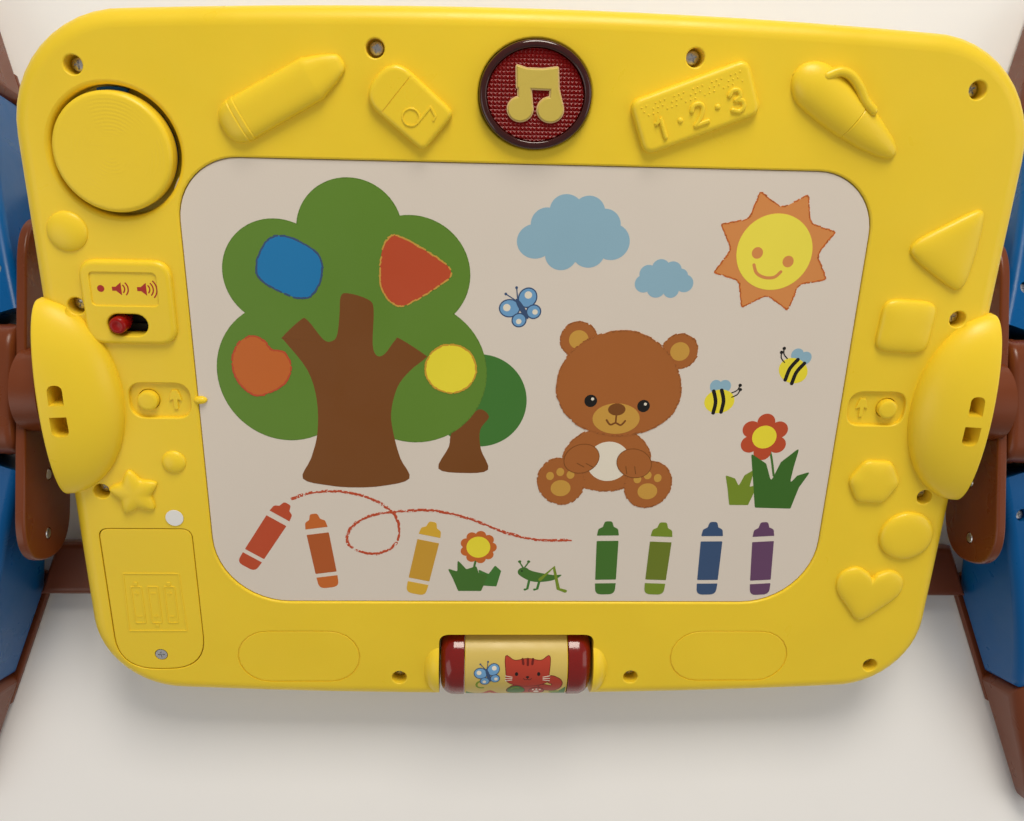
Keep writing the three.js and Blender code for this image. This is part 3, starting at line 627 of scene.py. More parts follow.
SIGN_EDGE = plastic("sign_edge", (0.72, 0.50, 0.22), 0.3)
SIGN_YELLOW = plastic("sign_yellow", (0.62, 0.48, 0.09), 0.35, scratches=0.5)

# The nodes that no piece replaces keep their shape and get these finishes; the others are steel.
FINISHES = {
    "note_lamp": WHITE, "note_circuit_board": GREEN, "main_circuit_board": GREEN,
    "battery_1": JACKET, "battery_2": JACKET, "battery_3": JACKET, "battery_box": BLACK,
    "note_switch": BLACK, "volume_switch": BLACK, "speaker": BLACK,
    "latch_bolt_left": BLACK, "latch_bolt_right": BLACK,
}
for name, item in frame["nodes"].items():
    item.data.materials.clear()
    item.data.materials.append(FINISHES.get(name, STEEL))
    edge = item.modifiers.new("edge", "BEVEL")
    edge.width = 0.0003
    edge.segments = 2
    edge.limit_method = "ANGLE"
    edge.angle_limit = math.radians(40)


# ---------- reliefs of the drawing face ----------

CRAYON_AT = {"x": -116, "y": 146.5, "turn": 29}
PEN_AT = {"x": 146, "y": 146, "turn": -35}
TAG_AT = {"x": -58, "y": 144, "turn": -40}
PLATE_AT = {"x": 74.5, "y": 146.5, "turn": 21}


def crayon_relief():
    """Stations from the blunt end over two grooves and the shoulder to the tip."""
    return moved(spindle([
        (-31.5, 1.0, 0.4), (-30.8, 4.5, 2.0), (-29, 7.4, 3.8), (-26, 9.4, 4.9), (-23.2, 10.2, 5.4),
        (-22.7, 9.9, 5.0), (-22.2, 10.2, 5.4), (-20.2, 10.4, 5.6), (-19.7, 10.0, 5.1),
        (-19.2, 10.2, 5.4), (15, 10.0, 5.4), (17, 9.9, 5.3), (18, 9.3, 5.0), (25, 7.0, 4.3),
        (29.5, 4.9, 3.4), (31.4, 3.8, 2.6), (32.2, 2.2, 1.4), (32.5, 0.8, 0.5),
    ], exponent=3.0), **CRAYON_AT)


def pen_relief():
    """A round end, a barrel with one groove, and a tip."""
    stations = [(-31.3, 2.5, 1.0)]
    for x, width in arc(-17.5, 0, 14, 180, 90, 8, 11)[1:]:
        stations.append((x, width, width * 6 / 11))
    stations += [(-8, 11.0, 6.2), (5.2, 10.0, 5.8), (5.7, 9.4, 5.2), (6.2, 9.6, 5.6), (16, 8.2, 5.0),
                 (26, 5.6, 4.0), (31, 3.4, 2.8), (32.6, 2.0, 1.6), (33, 0.8, 0.5)]
    return moved(spindle(stations), **PEN_AT)


def pen_clip():
    path = smooth([(-19, 6), (-15.5, 11), (-10, 12.8), (-3, 11.4), (3, 8.8), (9, 8.0)], 5, False)
    return moved(pillow(ribbon(path, 2.2), ROOT, 5.8, top=2.0, steps=7), **PEN_AT)


def tag_relief():
    outline = rounded([(-19, -12), (18, -11.5), (18, 11.5), (-19, 12)], [11, 4, 4, 11], 8)
    return moved(pillow(outline, ROOT, 4, top=2.2), **TAG_AT)


def tag_marks():
    """A raised note and an engraved band on the tag."""
    low, high, half = 2.5, 4.5, 0.55
    head = (4, -3.2)
    return (join(moved(pillow(oval(*head, 4.3), low, high, top=0.4), **TAG_AT))
            + cut(moved(pillow(oval(*head, 3.6), 4.0, 6), **TAG_AT))
            + join(moved(pillow(ribbon([(7.8, -3), (7.8, 6.2)], half), low, high, top=0.3), **TAG_AT),
                   moved(pillow(ribbon([(7.8, 6.2), (12.2, 4.6), (12.6, 2.6)], half), low, high,
                                top=0.3), **TAG_AT))
            + cut(moved(block(-7.6, -7.1, -20, 20, 3.7, 8), **TAG_AT)))


DIGITS = {
    -17.5: [[(-1.9, 2.6), (0.4, 4.6), (0.4, -4.6)]],
    0.5: [smooth([(-2.9, 2.4), (-1.6, 4.4), (1.2, 4.4), (2.4, 2.2), (0.2, -1.6), (-2.8, -4.4)],
                 4, False),
          [(-2.8, -4.4), (3.0, -4.4)]],
    18.5: [smooth([(-2.6, 3.2), (-0.6, 4.8), (1.9, 3.9), (2.0, 1.4), (-0.4, 0.2)], 4, False),
           smooth([(-0.4, 0.2), (2.4, -0.9), (2.5, -3.6), (0.0, -5.0), (-2.7, -3.6)], 4, False)],
}
PLATE_Z = 4.2


def number_plate():
    """The plate, its three raised digits and the two dots between them."""
    parts = [pillow(rect(-28.5, 28.5, -12.8, 12.8, 5.5), ROOT, PLATE_Z, top=2.4)]
    for x, lines in DIGITS.items():
        for line in lines:
            parts.append(pillow(turned(ribbon(line, 1.1), 0, x, -3.2), 2.6, 5.4, top=0.9))
    for x in (-8.5, 9.5):
        parts.append(moved(dome(1.35, 1.35, 0.9, 20, 6), x, -3.0, PLATE_Z))
    return [moved(part, **PLATE_AT) for part in parts]


def plate_studs():
    """Three rows of fine studs over the digits, with every fourth or so left out."""
    studs = []
    for row in range(3):
        for column in range(22):
            if (column * 7 + row * 5) % 4:
                x, y = -24 + 2.25 * column + 0.6 * (row % 2), 4.2 + 2.1 * row
                stud = moved(dome(0.42, 0.42, 0.35, 8, 3), x, y, PLATE_Z)
                studs.append(moved(stud, **PLATE_AT))
    return studs


def heart_outline(size):
    half = [(0.52, -0.55), (0.98, 0.02), (0.98, 0.52), (0.58, 0.80), (0.16, 0.66)]
    other = [(-x, y) for x, y in half[::-1]]
    points = [(0, -1.0), *half, (0, 0.48), *other]
    return smooth([(x * size, y * size) for x, y in points], 6)


SQUARE = [(-12.4, -11.8), (0, -13.6), (12.4, -11.8), (14, 0), (12.4, 12), (0, 13.8), (-12.4, 12),
          (-14, 0)]
TRIANGLE = [(-16.8, 0), (-13.5, 5), (0, 13), (11, 19), (15.5, 19.5), (17, 15), (16.8, 2),
            (14.8, -14), (12, -19.3), (7.5, -19), (-6, -10.5), (-14, -4.5)]


def shape_reliefs():
    hexagon = [(14.8 * math.cos(math.radians(60 * i)), 14.4 * math.sin(math.radians(60 * i)))
               for i in range(6)]
    round_star = smooth(rounded(star(5, 15.5, 8.6, 90), 3.4, 2), 3)
    return [
        moved(puff(smooth(TRIANGLE, 4), 3.9), 206, 82.5),
        moved(puff(smooth(SQUARE, 6), 3.9), 194, 43, turn=-3),
        moved(puff(rounded(hexagon, 6), 3.8), 192.5, -44.5, turn=-3),
        moved(puff(oval(0, 0, 15.2, 14.6, 56), 3.8), 216.5, -77.6),
        moved(puff(heart_outline(19), 3.7, 3.0), 200.5, -114, turn=-6),
        moved(puff(round_star, 3.5, 2.8), -205.5, -54.5, turn=8),
        moved(dome(9.6, 9.6, 3.0, 40), -221, 83),
        moved(dome(6.3, 6.3, 2.6, 32), -183.4, -36.6),
    ]


def cheek(side):
    """The round pod beside the roller."""
    profile = [(0, -4), (21.5, -4)] + arc(0, 0, 21.5, 0, 90, 12, 12)
    return mirrored(moved(along_x(lathe(profile, 48)), 45, ROLLER_Y, SEAM), side)


def hub_dome(side):
    """The eye-shaped hood over a hub: it rises towards the board's edge and ends flush with it."""
    edge, round_edge = 240.8, 1.3
    stations = []
    for i in range(20):
        a = math.radians(1 + 4.3 * i)
        stations.append((241 - 36 * math.cos(a), 52.5 * math.sin(a), 17 * math.sin(a)))
    for i in range(6):
        a = math.pi / 2 * i / 5
        drop = round_edge * (1 - math.cos(a))
        stations.append((edge - round_edge * (1 - math.sin(a)), 52.3 - drop, 16.95 - drop))
    return mirrored(moved(spindle(stations, sides=48, root=-4), y=HUB_Y), side)


def hub_slots(side):
    tall = turned(rect(-3.5, 3.5, -5, 5.5, [0.4, 0.4, 3.5, 3.5]), 0, 231.5, 5)
    low = turned(rect(-4, 4, -6, 4.8, [3.8, 3.8, 0.4, 0.4]), 0, 231.8, -10.8)
    return cut(*[mirrored(pillow(hole, 1.5, 40), side) for hole in (tall, low)])


# ---------- casings ----------

def shared_blocks():
    """Solid stretches behind the roller and round the two pins."""
    back, front = -29, -1
    return [block(-47.6, 47.6, -184, -140.9, back, front)] + [
        mirrored(block(218, 238.5, HUB_Y - 19, HUB_Y + 19, back, front), side) for side, _ in SIDES]


def shared_cuts():
    """The roller's opening and axle bore, and the sockets for the pins and bolts."""
    opening = rect(-44.8, 44.8, -240, -143.5, [0, 0, 6, 6], 6)
    cuts = [pillow(opening, -60, 40), rod_x(-52.3, 52.3, ROLLER_BORE, y=ROLLER_Y, z=SEAM)]
    for side, _ in SIDES:
        cuts.append(mirrored(rod_x(221.7, 281.7, 12.3, 48, HUB_Y, SEAM), side))
        cuts.append(mirrored(rod_x(200, 230, PIN_BORE, 24, HUB_Y, SEAM), side))
    return cut(*cuts)


def half_board(steps, low, high):
    """The hollow board after the steps, with all between the two heights cut away."""
    outer = pillow(board_outline(), -THICKNESS, 0, top=EDGE_RADIUS, bottom=EDGE_RADIUS, steps=9)
    hollow = pillow(board_outline(WALL), -THICKNESS + WALL, -WALL, top=5, bottom=5, steps=4)
    return carved(outer, cut(hollow) + steps + cut(block(-400, 400, -400, 400, low, high)))


def front_bosses():
    """Everything that is moulded on the front casing."""
    steps = join(*shared_blocks(), rod(*SPINNER, -13.6, ROOT, 32.2, 64),
                 block(-212, -180, 31, 45, -6, ROOT),
                 pillow(door_outline(2, [30, 24, 8, 8], 6), -5.6, ROOT))
    for side, _ in SIDES:
        steps += join(mirrored(block(169, 205, -14, 9, -6.5, ROOT), side), hub_dome(side), cheek(side))
    steps += join(*[rod(x, y, SEAM, ROOT, 6.2) for x, y in WELLS])
    pod = turned(rect(-22, 22, -21, 21, 9), 0, *VOLUME)
    steps += join(pillow(pod, ROOT, POD_Z, top=2.2))
    steps += join(crayon_relief(), pen_relief(), pen_clip(), tag_relief(), *number_plate(),
                  *shape_reliefs())
    return steps + tag_marks()


def release_pocket(side):
    """The pocket of a release button, the button's hole and a raised arrow."""
    pocket = turned(rect(-15.5, 15.5, -9.5, 9.5, 8), 0, 187, RELEASE[1])
    hole = flare(oval(*RELEASE, 5.5), -9, face=POCKET_Z, lip=0.3, reach=3)
    arrow = rounded([(-1.0, -4.6), (1.0, -4.6), (1.0, 0.4), (3.0, -0.6), (2.2, 2.4), (1.3, 4.8),
                     (-1.3, 4.8), (-2.2, 2.4), (-3.0, -0.6), (-1.0, 0.4)], 0.3, 2)
    raised = pillow(turned(arrow, 0, 179.6, RELEASE[1], 1.1), -3.6, -1.3, top=0.3)
    return (cut(mirrored(flare(pocket, POCKET_Z, lip=0.6), side), mirrored(hole, side))
            + join(mirrored(raised, side)))


def front_openings():
    """Everything that is cut from the front casing, with the raised oval fields and the nub."""
    steps = shared_cuts()
    steps += cut(
        pillow(panel_outline(PANEL_LEDGE), -6.8, -WALL),
        flare(panel_outline(), -5, lip=1.0),
        flare(oval(*NOTE, 26.3, 24.3, 64), -9, lip=0.9),
        flare(oval(*SPINNER, SPINNER_RECESS, steps=72), -11, lip=2.3),
        rod(*SPINNER, -40, 5, SPINNER_BORE),
        flare(rect(-213, -181, 47.6, 64.2, 2.5), 2.0, face=POD_Z, lip=0.35),
        flare(stadium(*SLOT, 19.5, 11), -9, face=POD_Z, lip=0.8),
        flare(door_outline(0, [22, 22, 6, 6], 9), -3, lip=0.3),
        block(-226.8, -179.2, -143.3, -80.2, -9, 1),
        rod(*DOOR_SCREW, -9, 1, 2.2))
    x, y = FIELD
    for side, _ in SIDES:
        steps += release_pocket(side) + hub_slots(side)
        steps += cut(pillow(stadium(side * x, y, 70, 35), -0.55, 9))
        steps += join(pillow(stadium(side * x, y, 68.6, 33.6), ROOT, 0.0, top=0.3))
    for x, y in WELLS:
        steps += cut(flare(oval(x, y, 4.2), -9, lip=0.7), rod(x, y, -16, 0, 1.9, 16))
    return steps + join(moved(dome(3.4, 2.1, 2.2, 24, 8), -166.5, -2, -0.6))


def front_casing():
    body = half_board(front_bosses() + front_openings(), -60, SEAM + CLEAR / 2)
    add("front_shell", joined(body, *plate_studs()), "board", YELLOW,
        replaces=["front_casing"])


def grille():
    """Rings of round holes over the speaker."""
    holes = []
    for ring in range(4):
        count = max(1, 6 * ring)
        for i in range(count):
            a = 2 * math.pi * i / count
            x, y = SPEAKER[0] + 6.2 * ring * math.cos(a), SPEAKER[1] + 6.2 * ring * math.sin(a)
            holes.append(rod(x, y, -32, -25, 1.6, 14))
    return holes


def back_casing():
    steps = join(*shared_blocks(), rod(*SPINNER, -29, -19.4, 32.2, 64),
                 *[cheek(side) for side, _ in SIDES], *[rod(x, y, -28.4, SEAM, 4.2) for x, y in WELLS])
    steps += shared_cuts()
    steps += cut(rod(*SPINNER, -60, -22, SPINNER_RECESS, 72), rod(*SPINNER, -60, 0, SPINNER_BORE),
                 *[rod(x, y, -27.4, 0, 1.75, 16) for x, y in WELLS], *grille())
    add("back_shell", half_board(steps, SEAM - CLEAR / 2, 60), "board", YELLOW,
        replaces=["back_casing"])


# ---------- small parts of the board ----------

def panel():
    outer = pillow(panel_outline(-CLEAR), -3.5, PANEL_Z, top=0.4, steps=3)
    ledge = pillow(panel_outline(PANEL_LEDGE - CLEAR), -5.5, -2.9)
    add("white_panel", carved(outer, join(ledge)), "board", WHITE,
        replaces=["drawing_panel"])


def pyramids(cells, pitch, low, high, base_z):
    """A square block whose top is a grid of small pyramids."""
    half = cells * pitch / 2
    bm = bmesh.new()
    corners = [[bm.verts.new((i * pitch - half, j * pitch - half, low)) for i in range(cells + 1)]
               for j in range(cells + 1)]
    for j in range(cells):
        for i in range(cells):
            tip = bm.verts.new(((i + 0.5) * pitch - half, (j + 0.5) * pitch - half, high))
            ring = [corners[j][i], corners[j][i + 1], corners[j + 1][i + 1], corners[j + 1][i]]
            for k in range(4):
                bm.faces.new((ring[k], ring[(k + 1) % 4], tip))
    base = [bm.verts.new((x * half, y * half, base_z)) for x, y in ((-1, -1), (1, -1), (1, 1), (-1, 1))]
    edges = [corners[0], [row[-1] for row in corners], corners[-1][::-1],
             [row[0] for row in corners][::-1]]
    for k in range(4):
        bm.faces.new([base[k], base[(k + 1) % 4]] + edges[k][::-1])
    bm.faces.new(base[::-1])
    bmesh.ops.recalc_face_normals(bm, faces=bm.faces)
    return bm


def notes_sign(grow, top, z1):
    """Two note heads, two stems and the beam, all moved out by grow."""
    outlines = [
        oval(-6.9, -6.2, 5.9, 5.5, 40), oval(7.0, -6.2, 6.1, 5.6, 40),
        rounded([(-9.3, 12.9), (-8.2, 4.5), (-8.0, -4), (-1.1, -6), (-2.2, 3), (-2.4, 11)], 0.7, 3),
        rounded([(5.6, 11), (6.6, 2.4), (6.2, -6), (13.1, -5.4), (10.6, 3), (9.9, 12.4)], 0.7, 3),
        rounded([(-9.3, 12.9), (-8.8, 2.7), (10.4, 2.4), (9.9, 12.4), (3, 11.4), (-5, 11.5)], 0.8, 3),
    ]
    solids = [pillow(inset(o if area(o) > 0 else o[::-1], -grow), 1.6, z1, top=top) for o in outlines]
    return moved(carved(solids[0], join(*solids[1:])), *NOTE)


def note_button():
    lens = carved(pillow(oval(0, 0, 22.1, 20.1, 72), -7, 3.1),
                  [("INTERSECT", pyramids(25, 1.85, 2.3, 2.95, -20))]
                  + join(pillow(oval(0, 0, 20, 18, 48), -8.6, -5)))
    add("note_lens_faceted", moved(lens, *NOTE), "note_button", LENS,
        replaces=["note_lens"], sharp=5)
    rim = pillow(oval(0, 0, 26, 24, 96), -7, 4.5, top=1.9, steps=8)
    bore = flare(oval(0, 0, 22.4, 20.4, 96), -30, face=4.2, lip=1.0, steps=4)
    add("note_rim_glossy", moved(carved(rim, cut(bore)), *NOTE), "note_button",
        DARK_RED, replaces=["note_rim"])
    add("note_sign_edge", notes_sign(0.35, 0.2, 3.2), "note_button", SIGN_EDGE)
    add("note_sign", notes_sign(-0.25, 0.5, 3.9), "note_button", SIGN_YELLOW,
        replaces=["note_emblem"])


def spinner():
    """A disc, a wheel with a tab under it and, on the play side, a hand wheel, on one axle."""
    def bored(bm, steps=()):
        return moved(carved(bm, [*steps, *cut(rod(0, 0, -29.5, 0, SPINNER_BORE))]), *SPINNER)

    profile = ([(0, -4.4), (26.6, -4.4), (27.2, -3.8)] + arc(24.6, 2.2, 2.6, 0, 90, 8, 2.4)
               + [(23.6, 4.65), (18, 4.8), (10, 4.92), (0, 4.98)])
    add("spinner_cap", bored(lathe(profile, 96)), "spinner", DISC_YELLOW,
        replaces=["spinner_disc"])
    tab = arc(0, 0, 28.7, 76, 104, 12) + arc(0, 0, 20, 104, 76, 6)
    wheel = lathe([(0, -8.4), (26, -8.4), (26.4, -8.0), (26.4, -5.1), (26, -4.7), (0, -4.7)], 96)
    add("spinner_wheel", bored(wheel, join(pillow(tab, -8.3, -4.8, top=0.4))), "spinner",
        BLUE, replaces=["spinner_ring"])
    dial = lathe([(0, -23.5), (26.4, -23.5), (27.2, -24.3), (27.2, -34.5), (26, -36), (20, -36.4),
                  (18, -35.2), (0, -34.6)], 96)
    grips = [moved(rod(27.6, 0, -60, 0, 1.4, 12), turn=15 * i) for i in range(24)]
    knob = lathe([(0, -30), (6.2, -30), (6.2, -40), (5.2, -41.6), (3.4, -42), (0, -42)], 40)
    add("spinner_hand_wheel", bored(dial, cut(*grips) + join(moved(knob, 0, 15))), "spinner",
        BLUE, replaces=["spinner_dial"])


def speaker_icon(x, waves):
    """A speaker with sound waves, as printed marks."""
    marks = [[(x - 3.2, 55.0), (x - 1.4, 55.0), (x + 1.2, 52.8), (x + 1.2, 59.2), (x - 1.4, 57.0),
              (x - 3.2, 57.0)]]
    for i in range(waves):
        bow = arc(x + 0.2, 56, 2.6 + 1.7 * i, -42, 42, 10)
        marks.append(ribbon(bow, 0.32))
    return marks


def volume():
    knob = lathe([(0, -3), (4.3, -3), (4.3, 3.6), (4.0, 4.5), (3.3, 5.1), (2.4, 5.2), (1.6, 4.8),
                  (0, 4.7)], 48)
    stem = block(-2, 2, -2, 2, -11.5, -2.6)
    add("volume_button", moved(carved(knob, [("UNION", stem)]), -201.6, 38), "volume",
        RED, replaces=["volume_knob"])
    marks = [oval(-208.2, 56, 1.7)] + speaker_icon(-199.6, 2) + speaker_icon(-187.6, 3)
    for i, mark in enumerate(marks):
        add(f"volume_mark_{i + 1}", pillow(mark, 1.99, 2.06), "board", INK_RED)


def releases():
    for side, hand in SIDES:
        button = lathe([(0, -7), (5.2, -7), (5.2, 0.2), (4.9, 0.9), (4.2, 1.3), (3.4, 1.4), (0, 1.55)],
                       48)
        body = moved(carved(button, join(rod(0, 0, -9, -6.8, 6.8))), *RELEASE)
        add(f"release_cap_{hand}", mirrored(body, side), f"release_{hand}", YELLOW,
            replaces=[f"release_button_{hand}"])


def cell_diagram():
    """A low relief on the door: a frame with three cells and the signs of their poles."""
    corners = [(-218, -104), (-188, -104), (-187, -141), (-219, -141)]
    line, rise = 0.35, 0.14
    steps = []
    for a, b in ((0, 1), (3, 2), (0, 3), (1, 2)):
        steps += join(pillow(ribbon([corners[a], corners[b]], line), -1, 0.12, top=0.12))
    for i in (-1, 0, 1):
        x = DOOR_SCREW[0] + 9 * i
        body = rect(x - 3.1, x + 3.1, -136, -112, 1.0)
        steps += join(pillow(body, -1, rise, top=0.12)) + cut(pillow(inset(body, 0.6), -rise, 1))
        cap = rect(x - 1.1, x + 1.1, (-111.6 if i else -138.2), (-109.4 if i else -136.4), 0.4)
        steps += join(pillow(cap, -1, rise, top=0.12))
        for y, plus in ((-116.5, bool(i)), (-131.5, not i)):
            steps += join(block(x - 1.3, x + 1.3, y - 0.28, y + 0.28, -1, 0.08))
            if plus:
                steps += join(block(x - 0.28, x + 0.28, y - 1.3, y + 1.3, -1, 0.08))
    return steps


def door():
    steps = cut(rod(*DOOR_SCREW, -1.6, 1, 3.7), rod(*DOOR_SCREW, -4, 1, 1.8)) + cell_diagram()
    plate = pillow(door_outline(-0.5, [21.5, 21.5, 5.5, 5.5], 9), -2.6, -0.2, top=0.5, steps=3)
    add("battery_hatch", carved(plate, steps), "battery_cover", YELLOW,
        replaces=["battery_door"])


def sticker():
    add("blank_sticker", moved(pillow(oval(0, 0, 4.7, steps=40), 0.3, 0.6, top=0.1, steps=2),
                               -186.4, -69.3), "board", PAPER,
        replaces=["round_sticker"])


def screws():
    """Cross-head screws at the bottom of the wells, each one turned differently."""
    for i, (x, y) in enumerate(WELLS):
        head = lathe([(0, -24), (1.4, -24), (1.4, -8.7), (3.4, -8.7), (3.4, -7.4), (2.9, -6.8),
                      (1.6, -6.5), (0, -6.5)], 28)
        body = carved(head, cross(2.1, 0.4, -7.8, -5, turn=37 * i))
        add(f"case_screw_{i + 1}_turned", moved(body, x, y), "board", STEEL,
            replaces=[f"case_screw_{i + 1}"])


def wrapped(bm):
    """Bends a flat print, drawn on X and Y, round the roller's drum."""
    for i in range(-32, 33):
        geometry = list(bm.verts) + list(bm.edges) + list(bm.faces)
        bmesh.ops.bisect_plane(bm, geom=geometry, plane_co=(0, i + 0.37, 0), plane_no=(0, 1, 0))
    for vert in bm.verts:
        x, y, z = vert.co
        a = y / DRUM_RADIUS
        vert.co = (x, (DRUM_RADIUS + z) * math.sin(a), (DRUM_RADIUS + z) * math.cos(a))
    return moved(bm, y=ROLLER_Y, z=SEAM)


def layered(layers, z, material_order):
    """Thin slabs over one another; layers are (outline, material)."""
    parts = []
    rise, last = 0.04, None
    for outline, material in layers:
        if area(outline) < 0:
            outline = outline[::-1]
        rise += 0.0004 if material == last else 0.006
        last = material
        slab = pillow(outline, z, z + rise)
        for face in slab.faces:
            face.material_index = material_order.index(material)
        parts.append(slab)
    return parts


def printed(name, layers, body="board", z=PANEL_Z, shape=None):
    """A picture of flat layers in one piece; shape bends each layer."""
    materials = list(dict.fromkeys(material for _, material in layers))
    parts = layered(layers, z, materials)
    if shape:
        parts = [shape(part) for part in parts]
    add(name, joined(*parts), body, [INKS[m] for m in materials], weighted=False, sharp=20)


def cat_layers():
    """A cat with a ball of wool and one paw held up, its pads to the front."""
    tail = smooth([(9, -11), (15, -12), (17.5, -7), (14, -4.5)], 5, False)
    head = smooth([(-12.4, 0.5), (-11.4, -6), (-4, -9.2), (4, -9.2), (11.4, -6), (12.4, 0.5),
                   (12.6, 9.8), (7.6, 7.4), (0, 8.4), (-7.6, 7.4), (-12.6, 9.8)], 5)
    layers = [(ribbon(tail, 3.2), "cat_line"), (ribbon(tail, 2.7), "cat"),
              (oval(-1.5, -13, 9.4, 6.5), "cat_line"), (oval(-1.5, -13, 9.0, 6.1), "cat"),
              (inset(head, -0.4), "cat_line"), (head, "cat")]
    layers += [(oval(x, -0.6, 0.95, 1.25), "dark") for x in (-6.4, 6.4)]
    layers.append((oval(0, -2.6, 1.0, 0.7), "dark"))
    layers += [(ribbon(arc(x, -3.4, 1.1, 180, 360, 8), 0.18), "dark") for x in (-1.1, 1.1)]
    for stripe in ([(-3, 8.2), (-2.6, 5.4)], [(0, 8.3), (0, 4.9)], [(3, 8.2), (2.6, 5.4)]):
        layers.append((ribbon(stripe, 0.7), "cat_line"))
    for side, _ in SIDES:
        for k in range(3):
            whisker = [(side * 9.0, -2.6 - k), (side * 12.8, -1.8 - 1.7 * k)]
            layers.append((ribbon(whisker, 0.22), "cream"))
    layers += [(oval(-6.5, -14.5, 5.6, 5.4), "cat_line"), (oval(-6.5, -14.5, 5.1, 4.9), "green"),
               (ribbon(arc(-6.5, -14.5, 3.4, 60, 150, 8), 0.4), "lime"),
               (oval(5.6, -15.2, 4.6, 4.6), "cat_line"), (oval(5.6, -15.2, 4.1, 4.1), "cat"),
               (oval(5.6, -16.2, 1.6, 1.4), "cream")]
    for x, y in ((3.6, -13.5), (5.6, -13.0), (7.6, -13.5)):
        layers.append((oval(x, y, 0.65, 0.75), "cream"))
    return layers


def label_layers():
    """The roller's label: plants and shapes at the edges, the cat and a butterfly."""
    ground = [
        (rect(-29.4, 29.4, -34, 33, 0.5), "label"),
        (turned([(0, -9), (11, -9), (11, 6)], 0, 18, -13), "bush"),
        (oval(22.5, -14, 3.0, 2.6), "lime"),
        (turned([(0, -8), (8, -8), (0, 0)], 0, -29, -13), "bush"),
        (rounded([(-24, -24), (-15, -9.5), (-6, -24)], 3), "petal"),
        (rounded([(-18.5, -22), (-15, -15), (-11.5, -22)], 1), "label"),
        (ribbon(arc(-20, -5.5, 3, 60, 290, 10), 0.6), "lime"),
    ]
    cat = [(turned(outline, 0, 6.5, 3.0), material) for outline, material in cat_layers()]
    return ground + cat + butterfly_layers(-16.2, 1.5, 0.92, 18)


def roller():
    drum = lathe([(0, -29.85), (21.5, -29.85), (DRUM_RADIUS, -29.5), (DRUM_RADIUS, 29.5),
                  (21.5, 29.85), (0, 29.85)], 96)
    drum = carved(along_x(drum), cut(rod_x(-60, 60, ROLLER_BORE)))
    add("roller_barrel", moved(drum, y=ROLLER_Y, z=SEAM), "roller", YELLOW,
        replaces=["roller_drum"])
    for side, hand in SIDES:
        profile = [(0, 30.15), (22.2, 30.15), (22.5, 30.5)] + arc(14.5, 36, 8, 0, 90, 10) + [(0, 44)]
        cap = carved(along_x(lathe(profile, 96)), cut(rod_x(0, 60, ROLLER_BORE)))
        add(f"roller_end_{hand}", moved(mirrored(cap, side), y=ROLLER_Y, z=SEAM), "roller",
            CAP_RED, replaces=[f"roller_cap_{hand}"])
    printed("roller_label", label_layers(), "roller", z=0.01, shape=wrapped)


def butterfly_layers(x, y, scale, turn):
    def put(points):
        return turned(points, turn, x, y, scale)

    layers = []
    for sign in (-1, 1):
        layers += [(put(oval(sign * 4.2, 2.8, 4.3, 3.8, turn=sign * 30)), "navy"),
                   (put(oval(sign * 4.2, 2.8, 3.8, 3.3, turn=sign * 30)), "butterfly"),
                   (put(oval(sign * 3.4, -3.4, 3.1, 3.0)), "navy"),
                   (put(oval(sign * 3.4, -3.4, 2.6, 2.5)), "butterfly"),
                   (put(oval(sign * 5.0, 3.6, 1.5)), "cream"),
                   (put(oval(sign * 3.8, -3.8, 1.1)), "cream"),
                   (put(ribbon([(sign * 0.3, 4), (sign * 2.4, 8.4)], 0.22)), "navy"),
                   (put(oval(sign * 2.5, 8.6, 0.55)), "navy")]
    return layers + [(put(oval(0, 0, 1.1, 4.8)), "navy")]


# ---------- pictures printed on the white board ----------

def rough(points, amount=0.25, step=1.4):
    """The outline with short, slightly uneven strokes, as drawn with a crayon."""
    uneven = []
    for a, b in zip(points, points[1:] + points[:1]):
        count = max(1, int(math.dist(a, b) / step))
        for k in range(count):
            t = k / count
            uneven.append((a[0] + (b[0] - a[0]) * t + random.uniform(-amount, amount),
                           a[1] + (b[1] - a[1]) * t + random.uniform(-amount, amount)))
    return uneven


def strokes(points, half, material, closed=True, gap=0.12):
    """A crayon line as short overlapping dabs, some of them missing."""
    path = points + points[:1] if closed else points
    marks = []
    for a, b in zip(path, path[1:]):
        count = max(1, int(math.dist(a, b) / (3.2 * half)))
        for k in range(count):
            if random.random() < gap:
                continue
            ends = []
            for t in (k / count, (k + 1.15) / count):
                ends.append((a[0] + (b[0] - a[0]) * t + random.uniform(-0.25, 0.25),
                             a[1] + (b[1] - a[1]) * t + random.uniform(-0.25, 0.25)))
            width = half * random.uniform(0.75, 1.15)
            marks.append((ribbon(ends, width), material))
    return marks


def outlined(points, fill, line, half=0.45):
    return [(points, fill)] + strokes(points, half, line)


def tree():
    lobes = [(-87.5, 86, 25, 24.5), (-123.5, 64.5, 26, 26), (-122, 13, 34.5, 36.5),
             (-58.5, 65, 29, 28.5), (-57, 13.5, 36.5, 37.5), (-88.5, 38, 41, 41)]
    edge = [(oval(x, y, rx + 0.5, ry + 0.5, 64), "rough_tree") for x, y, rx, ry in lobes]
    fill = [(rough(oval(x, y, rx, ry, 64), 0.12), "tree") for x, y, rx, ry in lobes]
    trunk = smooth([
        (-117, -46), (-103, -50), (-89.5, -51), (-75, -50), (-60.5, -45.5), (-65, -34), (-68, -22),
        (-69.5, -8.5), (-66, 6), (-59.5, 15), (-51.5, 22), (-52, 24), (-64, 32), (-66.5, 31.5),
        (-72, 24), (-76, 23), (-78, 29), (-77, 47), (-79.5, 52), (-89, 55), (-93, 53.5), (-94, 44),
        (-95.5, 34), (-98, 30.5), (-102.5, 31), (-110, 41), (-113.5, 41), (-123, 32), (-122, 30),
        (-111.5, 15), (-107.5, -1), (-108, -19.5), (-112, -34)], 4)
    return edge + fill + [(trunk, "trunk")]


